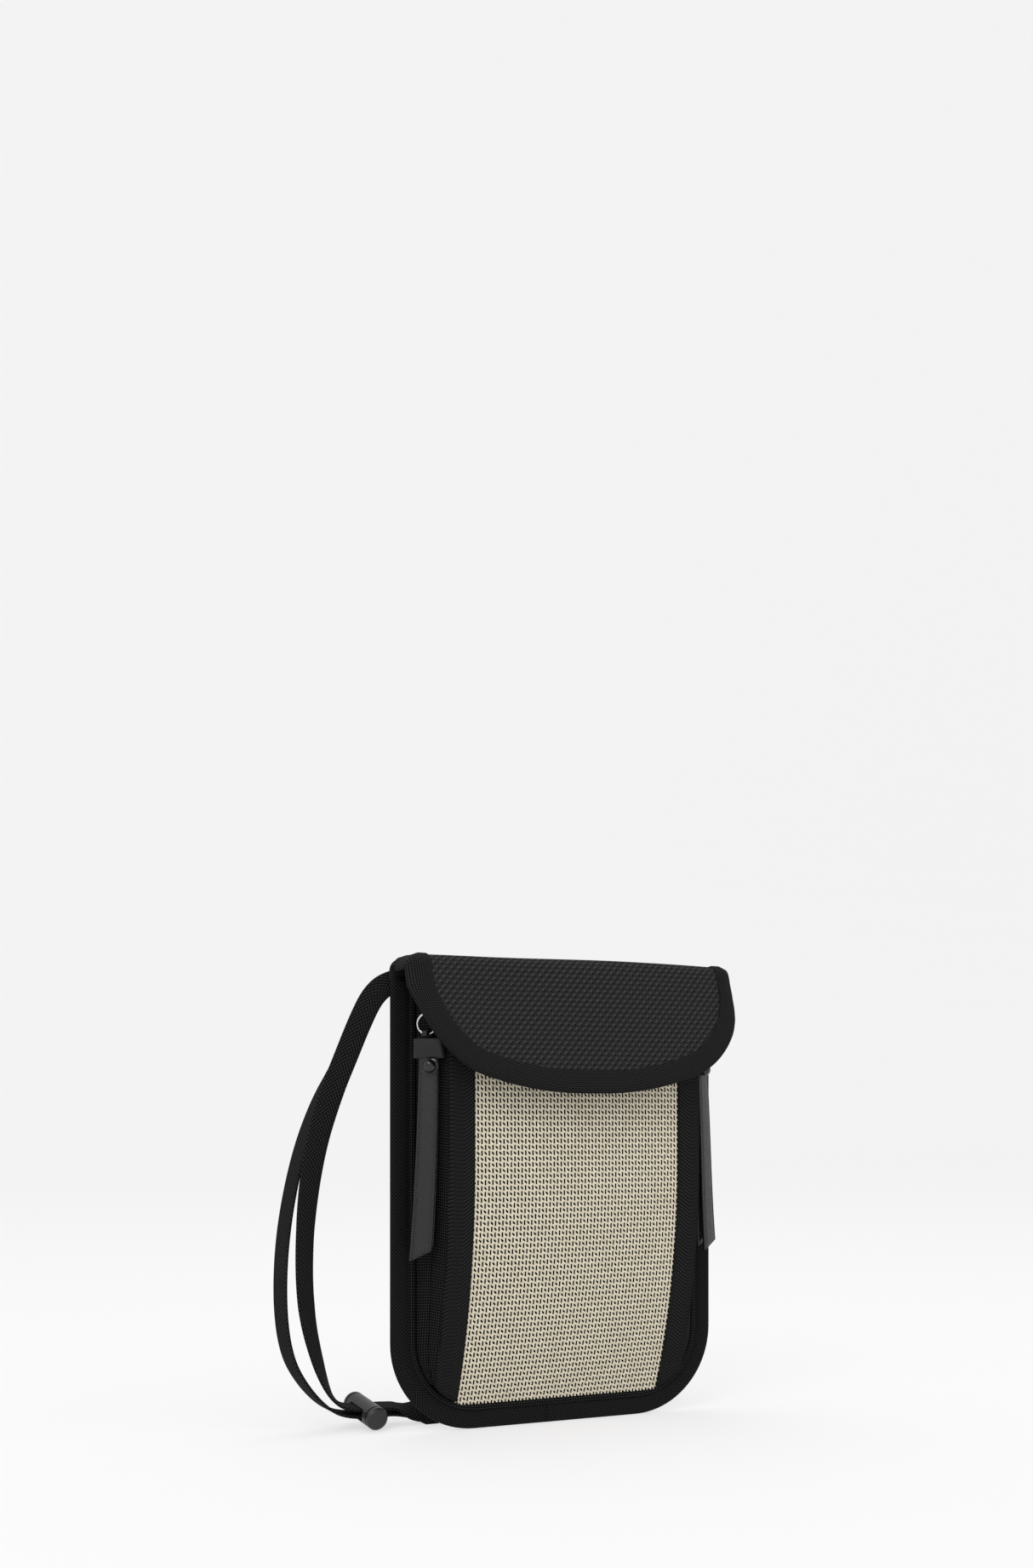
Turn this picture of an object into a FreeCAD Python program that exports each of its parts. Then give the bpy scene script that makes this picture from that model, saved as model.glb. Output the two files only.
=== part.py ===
import FreeCAD, Part
import math
import os

from FreeCAD import Placement, Rotation, Vector

# A neck pouch wallet: a flat bound pouch with a bulging front panel, two gusset zippers with ring and
# leather pulls, a flap hinged along the top back edge, and a flat neck strap that runs through a
# cylindrical strap slider and is put away behind the pouch. Millimetres, +Z up, the front is -Y.

# ---- driving dimensions ----
HEIGHT = 200.0
HALF_WIDTH = 77.0
CORNER_R = 38.0            # lower outside corners
BINDING_W = 8.0            # folded binding tape, seen from the front
BINDING_T = 3.4
BINDING_TOP = 187.0
SEAM_W = 2.8               # stitched strip inside the binding
SKIN = 0.9                 # outer fabric
FRONT_DEPTH = 22.5         # front panel ahead of the back face
FRONT_TOP_BEND = 114.0     # above this height the front panel is upright
FRONT_BEND_R = 290.0       # below it the panel curves back to the binding
FRONT_PANEL_TOP = 165.0
FRONT_BINDING_TOP = 172.0
MESH_HALF = 49.0
TAPE_HALF = 59.0
GUSSET_TOP = 189.0
GUSSET_FOOT = 23.0         # where the zipper closes into the lower corner
BACK_TOP = 190.0

FLAP_DEPTH = 38.0          # foremost point of the flap
FLAP_LOW = 142.5
FLAP_FOOT_Z = 191.0        # the flap's sewn edge on the back
FLAP_CORNER_R = 6.5
FLAP_FRONT_TOP = 24.5
FLAP_BINDING_W = 9.0

SLIDER_Z = 184.0
RING_R = 4.3
RING_WIRE_R = 0.55
LEATHER_LOW = 73.0
LEATHER_T = 1.15

STRAP_W = 10.0
STRAP_T = 1.25
STRAP_TUBE_R = 1.3         # round stand-in for the free stretches of webbing
TOGGLE_LENGTH = 25.0
TOGGLE_R = 4.9
ANCHOR_T = 2.2

# The back face of the pouch. The origin is the floor point midway between its front and its back.
BACK_Y = (FLAP_DEPTH - ANCHOR_T) / 2
TOGGLE_CENTRE = Vector(-80.0, BACK_Y + 20.3, 7.0)

X_AXIS = Vector(1, 0, 0)
Y_AXIS = Vector(0, 1, 0)
Z_AXIS = Vector(0, 0, 1)
SEAM_IN = BINDING_W + SEAM_W
GAP = 0.05                 # between layers that are sewn together

os.makedirs("parts", exist_ok=True)


def save(name, shape):
    """Write one sub-part, as one clean solid where it is one."""
    shape = shape.removeSplitter()
    if len(shape.Solids) == 1:
        shape = shape.Solids[0]
    print("%-24s solids %d  valid %s  volume %.1f" % (name, len(shape.Solids), shape.isValid(), shape.Volume))
    shape.exportStep("parts/%s.step" % name)


def depth_y(depth):
    """The Y of a point so far ahead of the back face."""
    return BACK_Y - depth


def box(x0, x1, y0, y1, z0, z1):
    return Part.makeBox(x1 - x0, y1 - y0, z1 - z0, Vector(x0, y0, z0))


def layer(x0, x1, depth0, depth1, z0, z1):
    """A box between two depths ahead of the back face."""
    return box(x0, x1, depth_y(depth1), depth_y(depth0), z0, z1)


def through(a, b, c):
    """An arc through three points, or a line where they lie in one."""
    if (b - a).cross(c - a).Length < 1e-4:
        return Part.makeLine(a, c)
    return Part.Arc(a, b, c).toShape()


def mirrored(shape):
    return shape.mirror(Vector(0, 0, 0), X_AXIS)


def save_pair(name, right):
    save(name + "_right", right)
    save(name + "_left", mirrored(right))


# ---- pouch outline ----
def outline(inset, top, y0, y1):
    """The pouch's front outline, round at the two lower corners, as a prism between two Y values."""
    half = HALF_WIDTH - inset
    r = CORNER_R - inset
    cx = HALF_WIDTH - CORNER_R
    s = r * math.sqrt(0.5)

    def at(x, z):
        return Vector(x, y0, z)

    edges = [
        Part.makeLine(at(-cx, inset), at(cx, inset)),
        Part.Arc(at(cx, inset), at(cx + s, CORNER_R - s), at(half, CORNER_R)).toShape(),
        Part.makeLine(at(half, CORNER_R), at(half, top)),
        Part.makeLine(at(half, top), at(-half, top)),
        Part.makeLine(at(-half, top), at(-half, CORNER_R)),
        Part.Arc(at(-half, CORNER_R), at(-cx - s, CORNER_R - s), at(-cx, inset)).toShape(),
    ]
    return Part.Face(Part.Wire(edges)).extrude(Vector(0, y1 - y0, 0))


def outline_band(inset0, inset1, top, depth0, depth1):
    """A U of even width that follows the outline between two insets."""
    outer = outline(inset0, top, depth_y(depth1), depth_y(depth0))
    inner = outline(inset1, top + 1, depth_y(depth1) - 1, depth_y(depth0) + 1)
    return outer.cut(inner)


# ---- back of the pouch ----
def make_back():
    inset = BINDING_W + GAP
    save("edge_binding", outline_band(0, BINDING_W, BINDING_TOP, 0, BINDING_T))
    save("back_panel", outline(inset, BACK_TOP, depth_y(1.4), depth_y(0.2)))
    save("back_lining", outline(inset, BACK_TOP, depth_y(2.1), depth_y(1.45)))
    save("seam_strip", outline_band(inset, SEAM_IN, BINDING_TOP, 2.15, BINDING_T))
    save("divider_panel", layer(-64, 64, 2.15, 2.85, 40, 160))
    save("card_pocket", layer(-45, 45, 2.9, 3.5, 46, 120))


def make_anchor():
    """The sewn end of the strap on each top back corner."""
    tab = layer(66.0, 76.8, -ANCHOR_T, 0, 180.5, 190.4)
    rear = [e for e in tab.Edges if e.BoundBox.YLength < 0.01 and e.CenterOfMass.y > BACK_Y + 2]
    tab = tab.makeFillet(0.6, rear)
    save_pair("strap_anchor", tab)


# ---- bulging front ----
def front_depth(z):
    """How far the front panel stands ahead of the back face at a height."""
    if z >= FRONT_TOP_BEND:
        return FRONT_DEPTH
    drop = FRONT_TOP_BEND - z
    return FRONT_DEPTH - FRONT_BEND_R + math.sqrt(FRONT_BEND_R ** 2 - drop ** 2)


def front_band(x0, x1, z0, z1, under0, under1):
    """A band of the front between two X values, from one distance under its face to another."""
    centre = Vector(x0, depth_y(FRONT_DEPTH - FRONT_BEND_R), FRONT_TOP_BEND)

    def at(under, z):
        drop = max(FRONT_TOP_BEND - z, 0)
        r = FRONT_BEND_R - under
        y = centre.y - math.sqrt(r ** 2 - drop ** 2)
        return Vector(x0, y, z)

    mid = (z0 + FRONT_TOP_BEND) / 2
    edges = [
        Part.Arc(at(under0, z0), at(under0, mid), at(under0, FRONT_TOP_BEND)).toShape(),
        Part.makeLine(at(under0, FRONT_TOP_BEND), at(under0, z1)),
        Part.makeLine(at(under0, z1), at(under1, z1)),
        Part.makeLine(at(under1, z1), at(under1, FRONT_TOP_BEND)),
        Part.Arc(at(under1, FRONT_TOP_BEND), at(under1, mid), at(under1, z0)).toShape(),
        Part.makeLine(at(under1, z0), at(under0, z0)),
    ]
    return Part.Face(Part.Wire(edges)).extrude(Vector(x1 - x0, 0, 0))


def make_front():
    room = outline(SEAM_IN + 2 * GAP, GUSSET_TOP, depth_y(60), depth_y(-5))
    foot = 8.0
    mesh = front_band(-MESH_HALF, MESH_HALF, foot, FRONT_PANEL_TOP - GAP, 0, SKIN)
    save("front_mesh_panel", mesh.common(room))
    tape = front_band(MESH_HALF + GAP, TAPE_HALF - 1, foot, FRONT_PANEL_TOP - GAP, 0, SKIN)
    save_pair("front_tape", tape.common(room))
    lining_room = outline(SEAM_IN + 3.0, GUSSET_TOP, depth_y(60), depth_y(-5))
    lining = front_band(-TAPE_HALF + 2, TAPE_HALF - 2, foot, FRONT_PANEL_TOP - GAP, SKIN + GAP, SKIN + 0.6)
    save("front_lining", lining.common(lining_room))
    half = TAPE_HALF - 1
    fold = layer(-half, half, FRONT_DEPTH - 1.9, FRONT_DEPTH + 0.6, FRONT_PANEL_TOP, FRONT_BINDING_TOP)
    long_edges = [e for e in fold.Edges if e.BoundBox.XLength > 50 and e.CenterOfMass.z > FRONT_BINDING_TOP - 0.1]
    save("front_top_binding", fold.makeFillet(1.0, long_edges))
    keeper = Part.makeCylinder(6.0, 1.2, Vector(0, depth_y(FRONT_DEPTH + GAP), 152), Vector(0, -1, 0))
    save("magnet_keeper", keeper)


# ---- gussets and zippers, drawn on the right ----
GUSSET_X = HALF_WIDTH - SEAM_IN - 0.1
GUSSET_RUN = Vector(GUSSET_X - TAPE_HALF, FRONT_DEPTH - BINDING_T, 0)
GUSSET_ALONG = Vector(GUSSET_RUN).normalize()
GUSSET_OUT = Vector(GUSSET_ALONG.y, -GUSSET_ALONG.x, 0)


def gusset_point(t, z):
    """A point of the gusset: t is 0 at the front tape and 1 at the seam strip."""
    if z >= CORNER_R:
        rim_x = GUSSET_X
    else:
        rim_x = HALF_WIDTH - CORNER_R + math.sqrt((CORNER_R - SEAM_IN) ** 2 - (CORNER_R - z) ** 2) - 0.1
    front = Vector(TAPE_HALF, depth_y(front_depth(z)), z)
    rim = Vector(rim_x, depth_y(BINDING_T), z)
    return front + (rim - front) * t


def gusset_band(t0, t1, under, thickness, top=GUSSET_TOP):
    """A strip of the gusset between two values of t, set a little under its outer face."""
    inward = GUSSET_OUT * -1
    solids = []
    for low, high in ((GUSSET_FOOT, CORNER_R), (CORNER_R, FRONT_TOP_BEND), (FRONT_TOP_BEND, top)):
        mid = (low + high) / 2
        sides = []
        for t in (t0, t1):
            points = [gusset_point(t, z) + inward * under for z in (low, mid, high)]
            sides.append(through(*points))
        face = Part.makeRuledSurface(sides[0], sides[1])
        solids.append(face.extrude(inward * thickness))
    return solids[0].fuse(solids[1:])


def make_zippers():
    save_pair("zip_tape_inner", gusset_band(0.06, 0.445, 0, SKIN))
    save_pair("zip_tape_outer", gusset_band(0.555, 0.985, 0, SKIN))
    save_pair("zip_coil_inner", gusset_band(0.375, 0.445, SKIN + GAP, 1.2, GUSSET_TOP - 1))
    save_pair("zip_coil_outer", gusset_band(0.555, 0.625, SKIN + GAP, 1.2, GUSSET_TOP - 1))
    save_pair("zip_bottom_stop", zipper_foot())


def zipper_foot():
    """The sewn stop that closes the zipper's lower end."""
    stop = box(-1.4, 1.4, -1.7, -0.7, -1.2, 1.2)
    stop = stop.makeFillet(0.3, [e for e in stop.Edges if e.CenterOfMass.y < -1.6])
    return placed_on_gusset(stop, GUSSET_FOOT + 1.6)


def placed_on_gusset(shape, z):
    """Turn a shape drawn facing -Y so that it faces out of the right gusset, over the zipper's middle."""
    turn = math.degrees(math.atan2(GUSSET_OUT.y, GUSSET_OUT.x)) + 90
    shape = shape.copy()
    shape.Placement = Placement(gusset_point(0.5, z), Rotation(Z_AXIS, turn)).multiply(shape.Placement)
    return shape


def fillet_outer(shape, radius, y):
    """Round the edges of a plate's outer face."""
    return shape.makeFillet(radius, [e for e in shape.Edges if e.BoundBox.YMax < y + 1e-4])


def slider_body():
    """Two plates, one each side of the tapes, joined by a post in the gap between them."""
    front = fillet_outer(box(-3.2, 3.2, -2.2, -0.75, -4.5, 4.5), 0.5, -2.2)
    back = box(-2.9, 2.9, 2.85, 3.65, -4.2, 4.2)
    post = box(-0.45, 0.45, -0.8, 2.9, -1.5, 2.5)
    return front.fuse([post, back])


def slider_bail():
    arch = box(-0.9, 0.9, -4.6, -2.2, -3.2, 3.2)
    arch = arch.makeFillet(0.8, [e for e in arch.Edges if e.BoundBox.XLength > 1 and e.CenterOfMass.y < -4.5])
    return arch.cut(box(-2, 2, -3.6, -2.1, -2.2, 2.2))


LINK_Y = -2.95             # all pull parts hang in this plane ahead of the tapes
LINK_PIN_Z = -1.55
EYE_Z = -9.0
RING_Z = EYE_Z - RING_R
LOOP_Z = RING_Z - RING_R


def pull_link():
    """A windowed plate: its top bar lies in the bail and its lower eye holds the ring."""
    bar = Part.makeCylinder(0.5, 4.8, Vector(-2.4, LINK_Y, LINK_PIN_Z), X_AXIS)
    plate = box(-2.4, 2.4, LINK_Y - 0.45, LINK_Y + 0.45, -7.6, LINK_PIN_Z)
    window = box(-1.25, 1.25, LINK_Y - 2, LINK_Y + 2, -6.2, LINK_PIN_Z + 1)
    eye = Part.makeCylinder(1.9, 1.6, Vector(-0.8, LINK_Y, EYE_Z), X_AXIS)
    neck = box(-0.8, 0.8, LINK_Y - 0.45, LINK_Y + 0.45, EYE_Z + 0.5, -7.5)
    hole = Part.makeCylinder(1.0, 4.0, Vector(-2.0, LINK_Y, EYE_Z), X_AXIS)
    return plate.cut(window).fuse([bar, eye, neck]).cut(hole)


def pull_ring():
    return Part.makeTorus(RING_R, RING_WIRE_R, Vector(0, LINK_Y, RING_Z), Y_AXIS)


def leather_strip(side, low):
    """One of the two layers of a leather pull; its foot is cut on a slant."""
    near = LINK_Y + side * 0.75
    y0, y1 = sorted((near, near + side * LEATHER_T))
    top = LOOP_Z - 0.9
    corners = [(-3.75, top), (3.75, top), (4.4, low), (-4.4, low + 5.0)]
    points = [Vector(x, y0, z) for x, z in corners]
    strip = Part.Face(Part.makePolygon(points + points[:1])).extrude(Vector(0, y1 - y0, 0))
    return strip.cut(Part.makeCylinder(1.0, 12.0, Vector(0, LINK_Y - 6, LOOP_Z - 12.4), Y_AXIS))


def leather_loop():
    """The narrow neck that goes round the ring's wire."""
    outer = Part.makeCylinder(1.9, 3.0, Vector(-1.5, LINK_Y, LOOP_Z), X_AXIS)
    legs = box(-1.5, 1.5, LINK_Y - 1.9, LINK_Y + 1.9, LOOP_Z - 0.85, LOOP_Z)
    hollow = Part.makeCylinder(1.0, 4.0, Vector(-2.0, LINK_Y, LOOP_Z), X_AXIS)
    slot = box(-2.0, 2.0, LINK_Y - 1.0, LINK_Y + 1.0, LOOP_Z - 2, LOOP_Z)
    below = box(-2, 2, LINK_Y - 3, LINK_Y + 3, LOOP_Z - 3, LOOP_Z - 0.85)
    return outer.fuse(legs).cut(hollow.fuse(slot)).cut(below)


def leather_collar():
    """The band that holds the two layers together under the ring."""
    top = LOOP_Z - 0.9
    band = box(-6.0, 6.0, LINK_Y - 2.6, LINK_Y + 2.6, top - 9.0, top)
    band = band.makeFillet(1.2, [e for e in band.Edges if e.BoundBox.ZLength > 8])
    return band.cut(box(-4.0, 4.0, LINK_Y - 1.95, LINK_Y + 1.95, top - 10, top + 1))


def pull_stud():
    """The ball stud below the collar, with its pin through both layers."""
    z = LOOP_Z - 12.4
    ball = Part.makeSphere(2.5, Vector(0, LINK_Y - 4.2, z))
    pin = Part.makeCylinder(0.9, 6.1, Vector(0, LINK_Y - 4.2, z), Y_AXIS)
    return ball.fuse(pin)


def make_pulls():
    low = LEATHER_LOW - SLIDER_Z
    for name, shape in (
        ("slider_body", slider_body()),
        ("slider_bail", slider_bail()),
        ("pull_link", pull_link()),
        ("pull_ring", pull_ring()),
        ("pull_loop", leather_loop()),
        ("pull_collar", leather_collar()),
        ("pull_stud", pull_stud()),
        ("pull_leather_front", leather_strip(-1, low)),
        ("pull_leather_back", leather_strip(1, low + 1.5)),
    ):
        save_pair(name, placed_on_gusset(shape, SLIDER_Z))


# ---- flap ----
def flap_outline(inset):
    """The flap's front outline as a deep prism, round at its two lower corners."""
    k = inset
    y0 = depth_y(FLAP_DEPTH + 20)

    def at(x, z):
        return Vector(x, y0, z)

    top = HEIGHT + 20
    side = HALF_WIDTH - k
    edges = [
        Part.makeLine(at(-side, top), at(side, top)),
        Part.makeLine(at(side, top), at(side, 186)),
        Part.Arc(at(side, 186), at(70.5 - k * 0.92, 166 + k * 0.35), at(54 - k * 0.5, 151.5 + k)).toShape(),
        Part.Arc(at(54 - k * 0.5, 151.5 + k), at(28 - k * 0.2, 144.4 + k), at(0, FLAP_LOW + k)).toShape(),
    ]
    left = [e.mirror(Vector(0, 0, 0), X_AXIS) for e in edges[1:]]
    wire = Part.Wire(Part.__sortEdges__(edges + left))
    return Part.Face(wire).extrude(Vector(0, 120, 0))


def flap_ribbon(under0, under1):
    """The flap's side profile between two distances under its outer face, over the full width.

    It rises from the sewn edge on the back, turns over the top and leans out down the front.
    """
    x0 = -HALF_WIDTH - 1
    lean = math.atan2(FLAP_DEPTH - FLAP_FRONT_TOP, HEIGHT - FLAP_CORNER_R - FLAP_LOW)
    half_turn = (math.pi / 2 - lean) / 2

    def side_points(under):
        r = FLAP_CORNER_R - under
        back_c = (FLAP_CORNER_R, HEIGHT - FLAP_CORNER_R)
        front_c = (FLAP_FRONT_TOP - FLAP_CORNER_R, HEIGHT - FLAP_CORNER_R)
        s = math.sqrt(0.5)
        end = (front_c[0] + r * math.cos(lean), front_c[1] + r * math.sin(lean))
        mid = (front_c[0] + r * math.sin(half_turn), front_c[1] + r * math.cos(half_turn))
        reach = (end[1] - FLAP_LOW + 12) / math.cos(lean)
        foot = (end[0] + reach * math.sin(lean), end[1] - reach * math.cos(lean))
        return [
            (under, FLAP_FOOT_Z),
            (under, back_c[1]),
            (back_c[0] - r * s, back_c[1] + r * s),
            (back_c[0], back_c[1] + r),
            (front_c[0], front_c[1] + r),
            mid,
            end,
            foot,
        ]

    def edges_of(points):
        v = [Vector(x0, depth_y(d), z) for d, z in points]
        return [
            Part.makeLine(v[0], v[1]),
            Part.Arc(v[1], v[2], v[3]).toShape(),
            Part.makeLine(v[3], v[4]),
            Part.Arc(v[4], v[5], v[6]).toShape(),
            Part.makeLine(v[6], v[7]),
        ], v[0], v[-1]

    outer, outer_start, outer_end = edges_of(side_points(under0))
    inner, inner_start, inner_end = edges_of(side_points(under1))
    ends = [Part.makeLine(outer_start, inner_start), Part.makeLine(outer_end, inner_end)]
    wire = Part.Wire(Part.__sortEdges__(outer + inner + ends))
    return Part.Face(wire).extrude(Vector(2 * HALF_WIDTH + 2, 0, 0))


def make_flap():
    whole = flap_outline(0)
    inner = flap_outline(FLAP_BINDING_W)
    field = flap_outline(FLAP_BINDING_W + GAP)
    save("flap_panel", flap_ribbon(0.4, 1.5).common(field))
    save("flap_lining", flap_ribbon(1.55, 2.3).common(field))
    save("flap_binding", flap_ribbon(0, 2.7).common(whole.cut(inner)))
    lean = math.atan2(FLAP_DEPTH - FLAP_FRONT_TOP, HEIGHT - FLAP_CORNER_R - FLAP_LOW)
    z = 157.0
    depth = FLAP_FRONT_TOP + (HEIGHT - FLAP_CORNER_R - z) * math.tan(lean) - 2.6
    out = Vector(0, -math.cos(lean), math.sin(lean))
    magnet = Part.makeCylinder(6.0, 1.2, Vector(0, depth_y(depth), z) - out * 1.4, out)
    save("flap_magnet", magnet.cut(flap_ribbon(-1, 2.35)))


# ---- neck strap ----
def smooth_tube(name, points, radius):
    """A tube along straight runs, with an arc at each corner as large as its two runs allow."""
    edges = []
    start = points[0]
    radii = []
    length = 0.0
    for before, corner, after in zip(points, points[1:], points[2:]):
        back = before - corner
        ahead = after - corner
        turn = math.pi - back.getAngle(ahead)
        cut = 0.45 * min(back.Length, ahead.Length)
        r = cut / math.tan(turn / 2)
        radii.append(round(r, 1))
        back.normalize()
        ahead.normalize()
        a = corner + back * cut
        b = corner + ahead * cut
        mid = corner + (back + ahead).normalize() * (r / math.cos(turn / 2) - r)
        edges.append(Part.LineSegment(start, a).toShape())
        edges.append(Part.Arc(a, mid, b).toShape())
        length += (a - start).Length + r * turn
        start = b
    edges.append(Part.LineSegment(start, points[-1]).toShape())
    length += (points[-1] - start).Length
    path = Part.Wire(edges)
    first = points[1] - points[0]
    ring = Part.Wire([Part.Circle(points[0], first, radius).toShape()])
    tube = path.makePipeShell([ring], True, True)
    ratio = tube.Volume / (math.pi * radius ** 2 * length)
    print("%s: length %.1f, arc radii %s, volume ratio %.3f" % (name, length, radii, ratio))
    return tube


def behind(x, back, z):
    """A point so far behind the pouch's back face."""
    return Vector(x, BACK_Y + back, z)


TOGGLE_TURN = Rotation(Z_AXIS, 6.0).multiply(Rotation(X_AXIS, 8.5))
TOGGLE_AXIS = TOGGLE_TURN.multVec(Y_AXIS)
STRAP_AXIS = TOGGLE_TURN.multVec(X_AXIS)
STRAP_UP = TOGGLE_TURN.multVec(Z_AXIS)
PASS_IN = 7.0              # the flat stretch of strap, from before the slider's slot
PASS_OUT = 12.0            # to past where the slider can be moved
PASS_RISE = 1.5
PASS_IN_UPPER = TOGGLE_CENTRE - STRAP_AXIS * PASS_IN + STRAP_UP * PASS_RISE
PASS_IN_LOWER = TOGGLE_CENTRE - STRAP_AXIS * PASS_IN - STRAP_UP * PASS_RISE
PASS_OUT_UPPER = TOGGLE_CENTRE + STRAP_AXIS * PASS_OUT + STRAP_UP * PASS_RISE
PASS_OUT_LOWER = TOGGLE_CENTRE + STRAP_AXIS * PASS_OUT - STRAP_UP * PASS_RISE

HANK_X = (-45.0, 75.0)
HANK_BACK = (13.5, 58.0)
HANK_HIGH = 10.4

FRONT_ROUTE = [
    behind(-76.8, 1.4, 187.5),
    behind(-82.0, 4.0, 180.5),
    behind(-88.3, 6.0, 171.5),
    behind(-94.5, 8.0, 157.5),
    behind(-100.0, 10.3, 142.0),
    behind(-106.0, 13.0, 117.0),
    behind(-109.0, 15.0, 84.0),
    behind(-108.0, 16.8, 52.0),
    behind(-101.6, 18.0, 27.0),
    behind(-95.0, 18.6, 12.0),
    PASS_IN_UPPER,
]
REAR_ROUTE = [
    behind(66.0, 1.4, 183.0),
    behind(55.0, 3.4, 182.5),
    behind(36.0, 8.0, 182.5),
    behind(6.0, 12.5, 184.0),
    behind(-30.0, 15.5, 187.0),
    behind(-57.0, 16.3, 188.2),
    behind(-71.0, 16.6, 186.3),
    behind(-79.3, 17.2, 179.5),
    behind(-86.0, 18.4, 169.5),
    behind(-93.0, 19.5, 154.5),
    behind(-102.0, 21.0, 138.0),
    behind(-110.0, 22.0, 115.0),
    behind(-116.0, 22.4, 84.0),
    behind(-117.5, 22.0, 55.0),
    behind(-115.0, 21.0, 33.0),
    behind(-107.8, 20.2, 19.5),
    behind(-97.5, 19.7, 8.8),
    PASS_IN_LOWER,
]
LINK_UPPER_ROUTE = [
    PASS_OUT_UPPER,
    behind(-62.3, 21.2, 7.0),
    behind(-56.5, 19.0, 5.6),
    behind(-51.0, 17.4, 5.3),
    behind(-45.0, 16.9, 5.3),
]
LINK_LOWER_ROUTE = [
    PASS_OUT_LOWER,
    behind(-61.5, 22.1, 5.1),
    behind(-53.5, 20.8, 5.1),
    behind(-45.0, 20.9, 5.3),
]


def flat_pass(rise):
    strip = box(-PASS_IN, PASS_OUT, -STRAP_W / 2, STRAP_W / 2, rise - STRAP_T / 2, rise + STRAP_T / 2)
    strip.Placement = Placement(TOGGLE_CENTRE, TOGGLE_TURN)
    return strip


def strap_hank():
    """The put-away part of the strap: doubled webbing laid on edge in one long loop."""
    r = (HANK_BACK[1] - HANK_BACK[0]) / 2
    end_x = HANK_X[1] - r
    block = box(HANK_X[0], end_x, BACK_Y + HANK_BACK[0], BACK_Y + HANK_BACK[1], 0, HANK_HIGH)
    bend = Part.makeCylinder(r, HANK_HIGH, Vector(end_x, BACK_Y + HANK_BACK[0] + r, 0), Z_AXIS)
    return block.fuse(bend)


def hank_tie():
    """A band round the two strands where they leave the put-away loop."""
    outer = box(-54.5, -48.5, BACK_Y + 14.6, BACK_Y + 23.4, 0.0, 10.8)
    inner = box(-55, -48, BACK_Y + 15.3, BACK_Y + 22.7, 0.7, 10.1)
    return outer.cut(inner)


def toggle_barrel():
    half = TOGGLE_LENGTH / 2 - 3.0
    tube = Part.makeCylinder(TOGGLE_R, 2 * half, Vector(0, -half, 0), Y_AXIS)
    slot = box(-8, 8, -6.5, 6.5, -2.7, 2.7)
    slot = slot.makeFillet(1.2, [e for e in slot.Edges if e.BoundBox.XLength > 10])
    return tube.cut(slot)


def toggle_cap(sign):
    """An end cap with a narrow neck, so that a groove shows between it and the barrel."""
    start = TOGGLE_LENGTH / 2 - 3.0
    neck = Part.makeCylinder(TOGGLE_R - 1.0, 0.8, Vector(0, sign * start, 0), Y_AXIS * sign)
    disc = Part.makeCylinder(TOGGLE_R, 2.2, Vector(0, sign * (start + 0.8), 0), Y_AXIS * sign)
    end = sign * TOGGLE_LENGTH / 2
    rim = [e for e in disc.Edges if abs(e.CenterOfMass.y - end) < 0.01 and len(e.Vertexes) == 1]
    return disc.makeChamfer(0.9, rim).fuse(neck)


def make_strap():
    save("strap_front", smooth_tube("strap_front", FRONT_ROUTE, STRAP_TUBE_R))
    save("strap_rear", smooth_tube("strap_rear", REAR_ROUTE, STRAP_TUBE_R))
    save("strap_link_upper", smooth_tube("strap_link_upper", LINK_UPPER_ROUTE, STRAP_TUBE_R))
    save("strap_link_lower", smooth_tube("strap_link_lower", LINK_LOWER_ROUTE, STRAP_TUBE_R))
    save("strap_pass_upper", flat_pass(PASS_RISE))
    save("strap_pass_lower", flat_pass(-PASS_RISE))
    save("strap_hank", strap_hank())
    save("hank_tie", hank_tie())
    for name, shape in (
        ("toggle_barrel", toggle_barrel()),
        ("toggle_cap_near", toggle_cap(-1)),
        ("toggle_cap_far", toggle_cap(1)),
    ):
        shape.Placement = Placement(TOGGLE_CENTRE, TOGGLE_TURN)
        save(name, shape)


make_back()
make_anchor()
make_front()
make_zippers()
make_pulls()
make_flap()
make_strap()
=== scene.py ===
import cmath
import math

import bmesh
import bpy
import numpy as np
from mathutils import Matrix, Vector


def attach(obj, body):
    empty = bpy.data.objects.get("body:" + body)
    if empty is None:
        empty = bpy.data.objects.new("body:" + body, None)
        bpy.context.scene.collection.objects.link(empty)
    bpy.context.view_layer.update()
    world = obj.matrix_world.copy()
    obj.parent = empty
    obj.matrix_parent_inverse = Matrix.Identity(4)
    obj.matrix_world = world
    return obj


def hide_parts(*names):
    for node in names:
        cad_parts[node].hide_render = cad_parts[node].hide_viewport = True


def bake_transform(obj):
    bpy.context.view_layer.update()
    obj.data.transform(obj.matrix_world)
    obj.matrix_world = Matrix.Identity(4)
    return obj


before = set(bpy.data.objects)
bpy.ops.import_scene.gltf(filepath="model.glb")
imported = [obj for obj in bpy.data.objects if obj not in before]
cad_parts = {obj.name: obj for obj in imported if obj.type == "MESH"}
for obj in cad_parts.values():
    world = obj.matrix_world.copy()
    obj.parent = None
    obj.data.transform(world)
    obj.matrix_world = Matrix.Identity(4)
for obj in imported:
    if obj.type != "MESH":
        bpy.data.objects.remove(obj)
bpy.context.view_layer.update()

# A neck pouch wallet. Sizes below are millimetres in the frame's axes: +Z up, the front is -Y. Depths
# are measured forwards from the pouch's back face.

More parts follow.
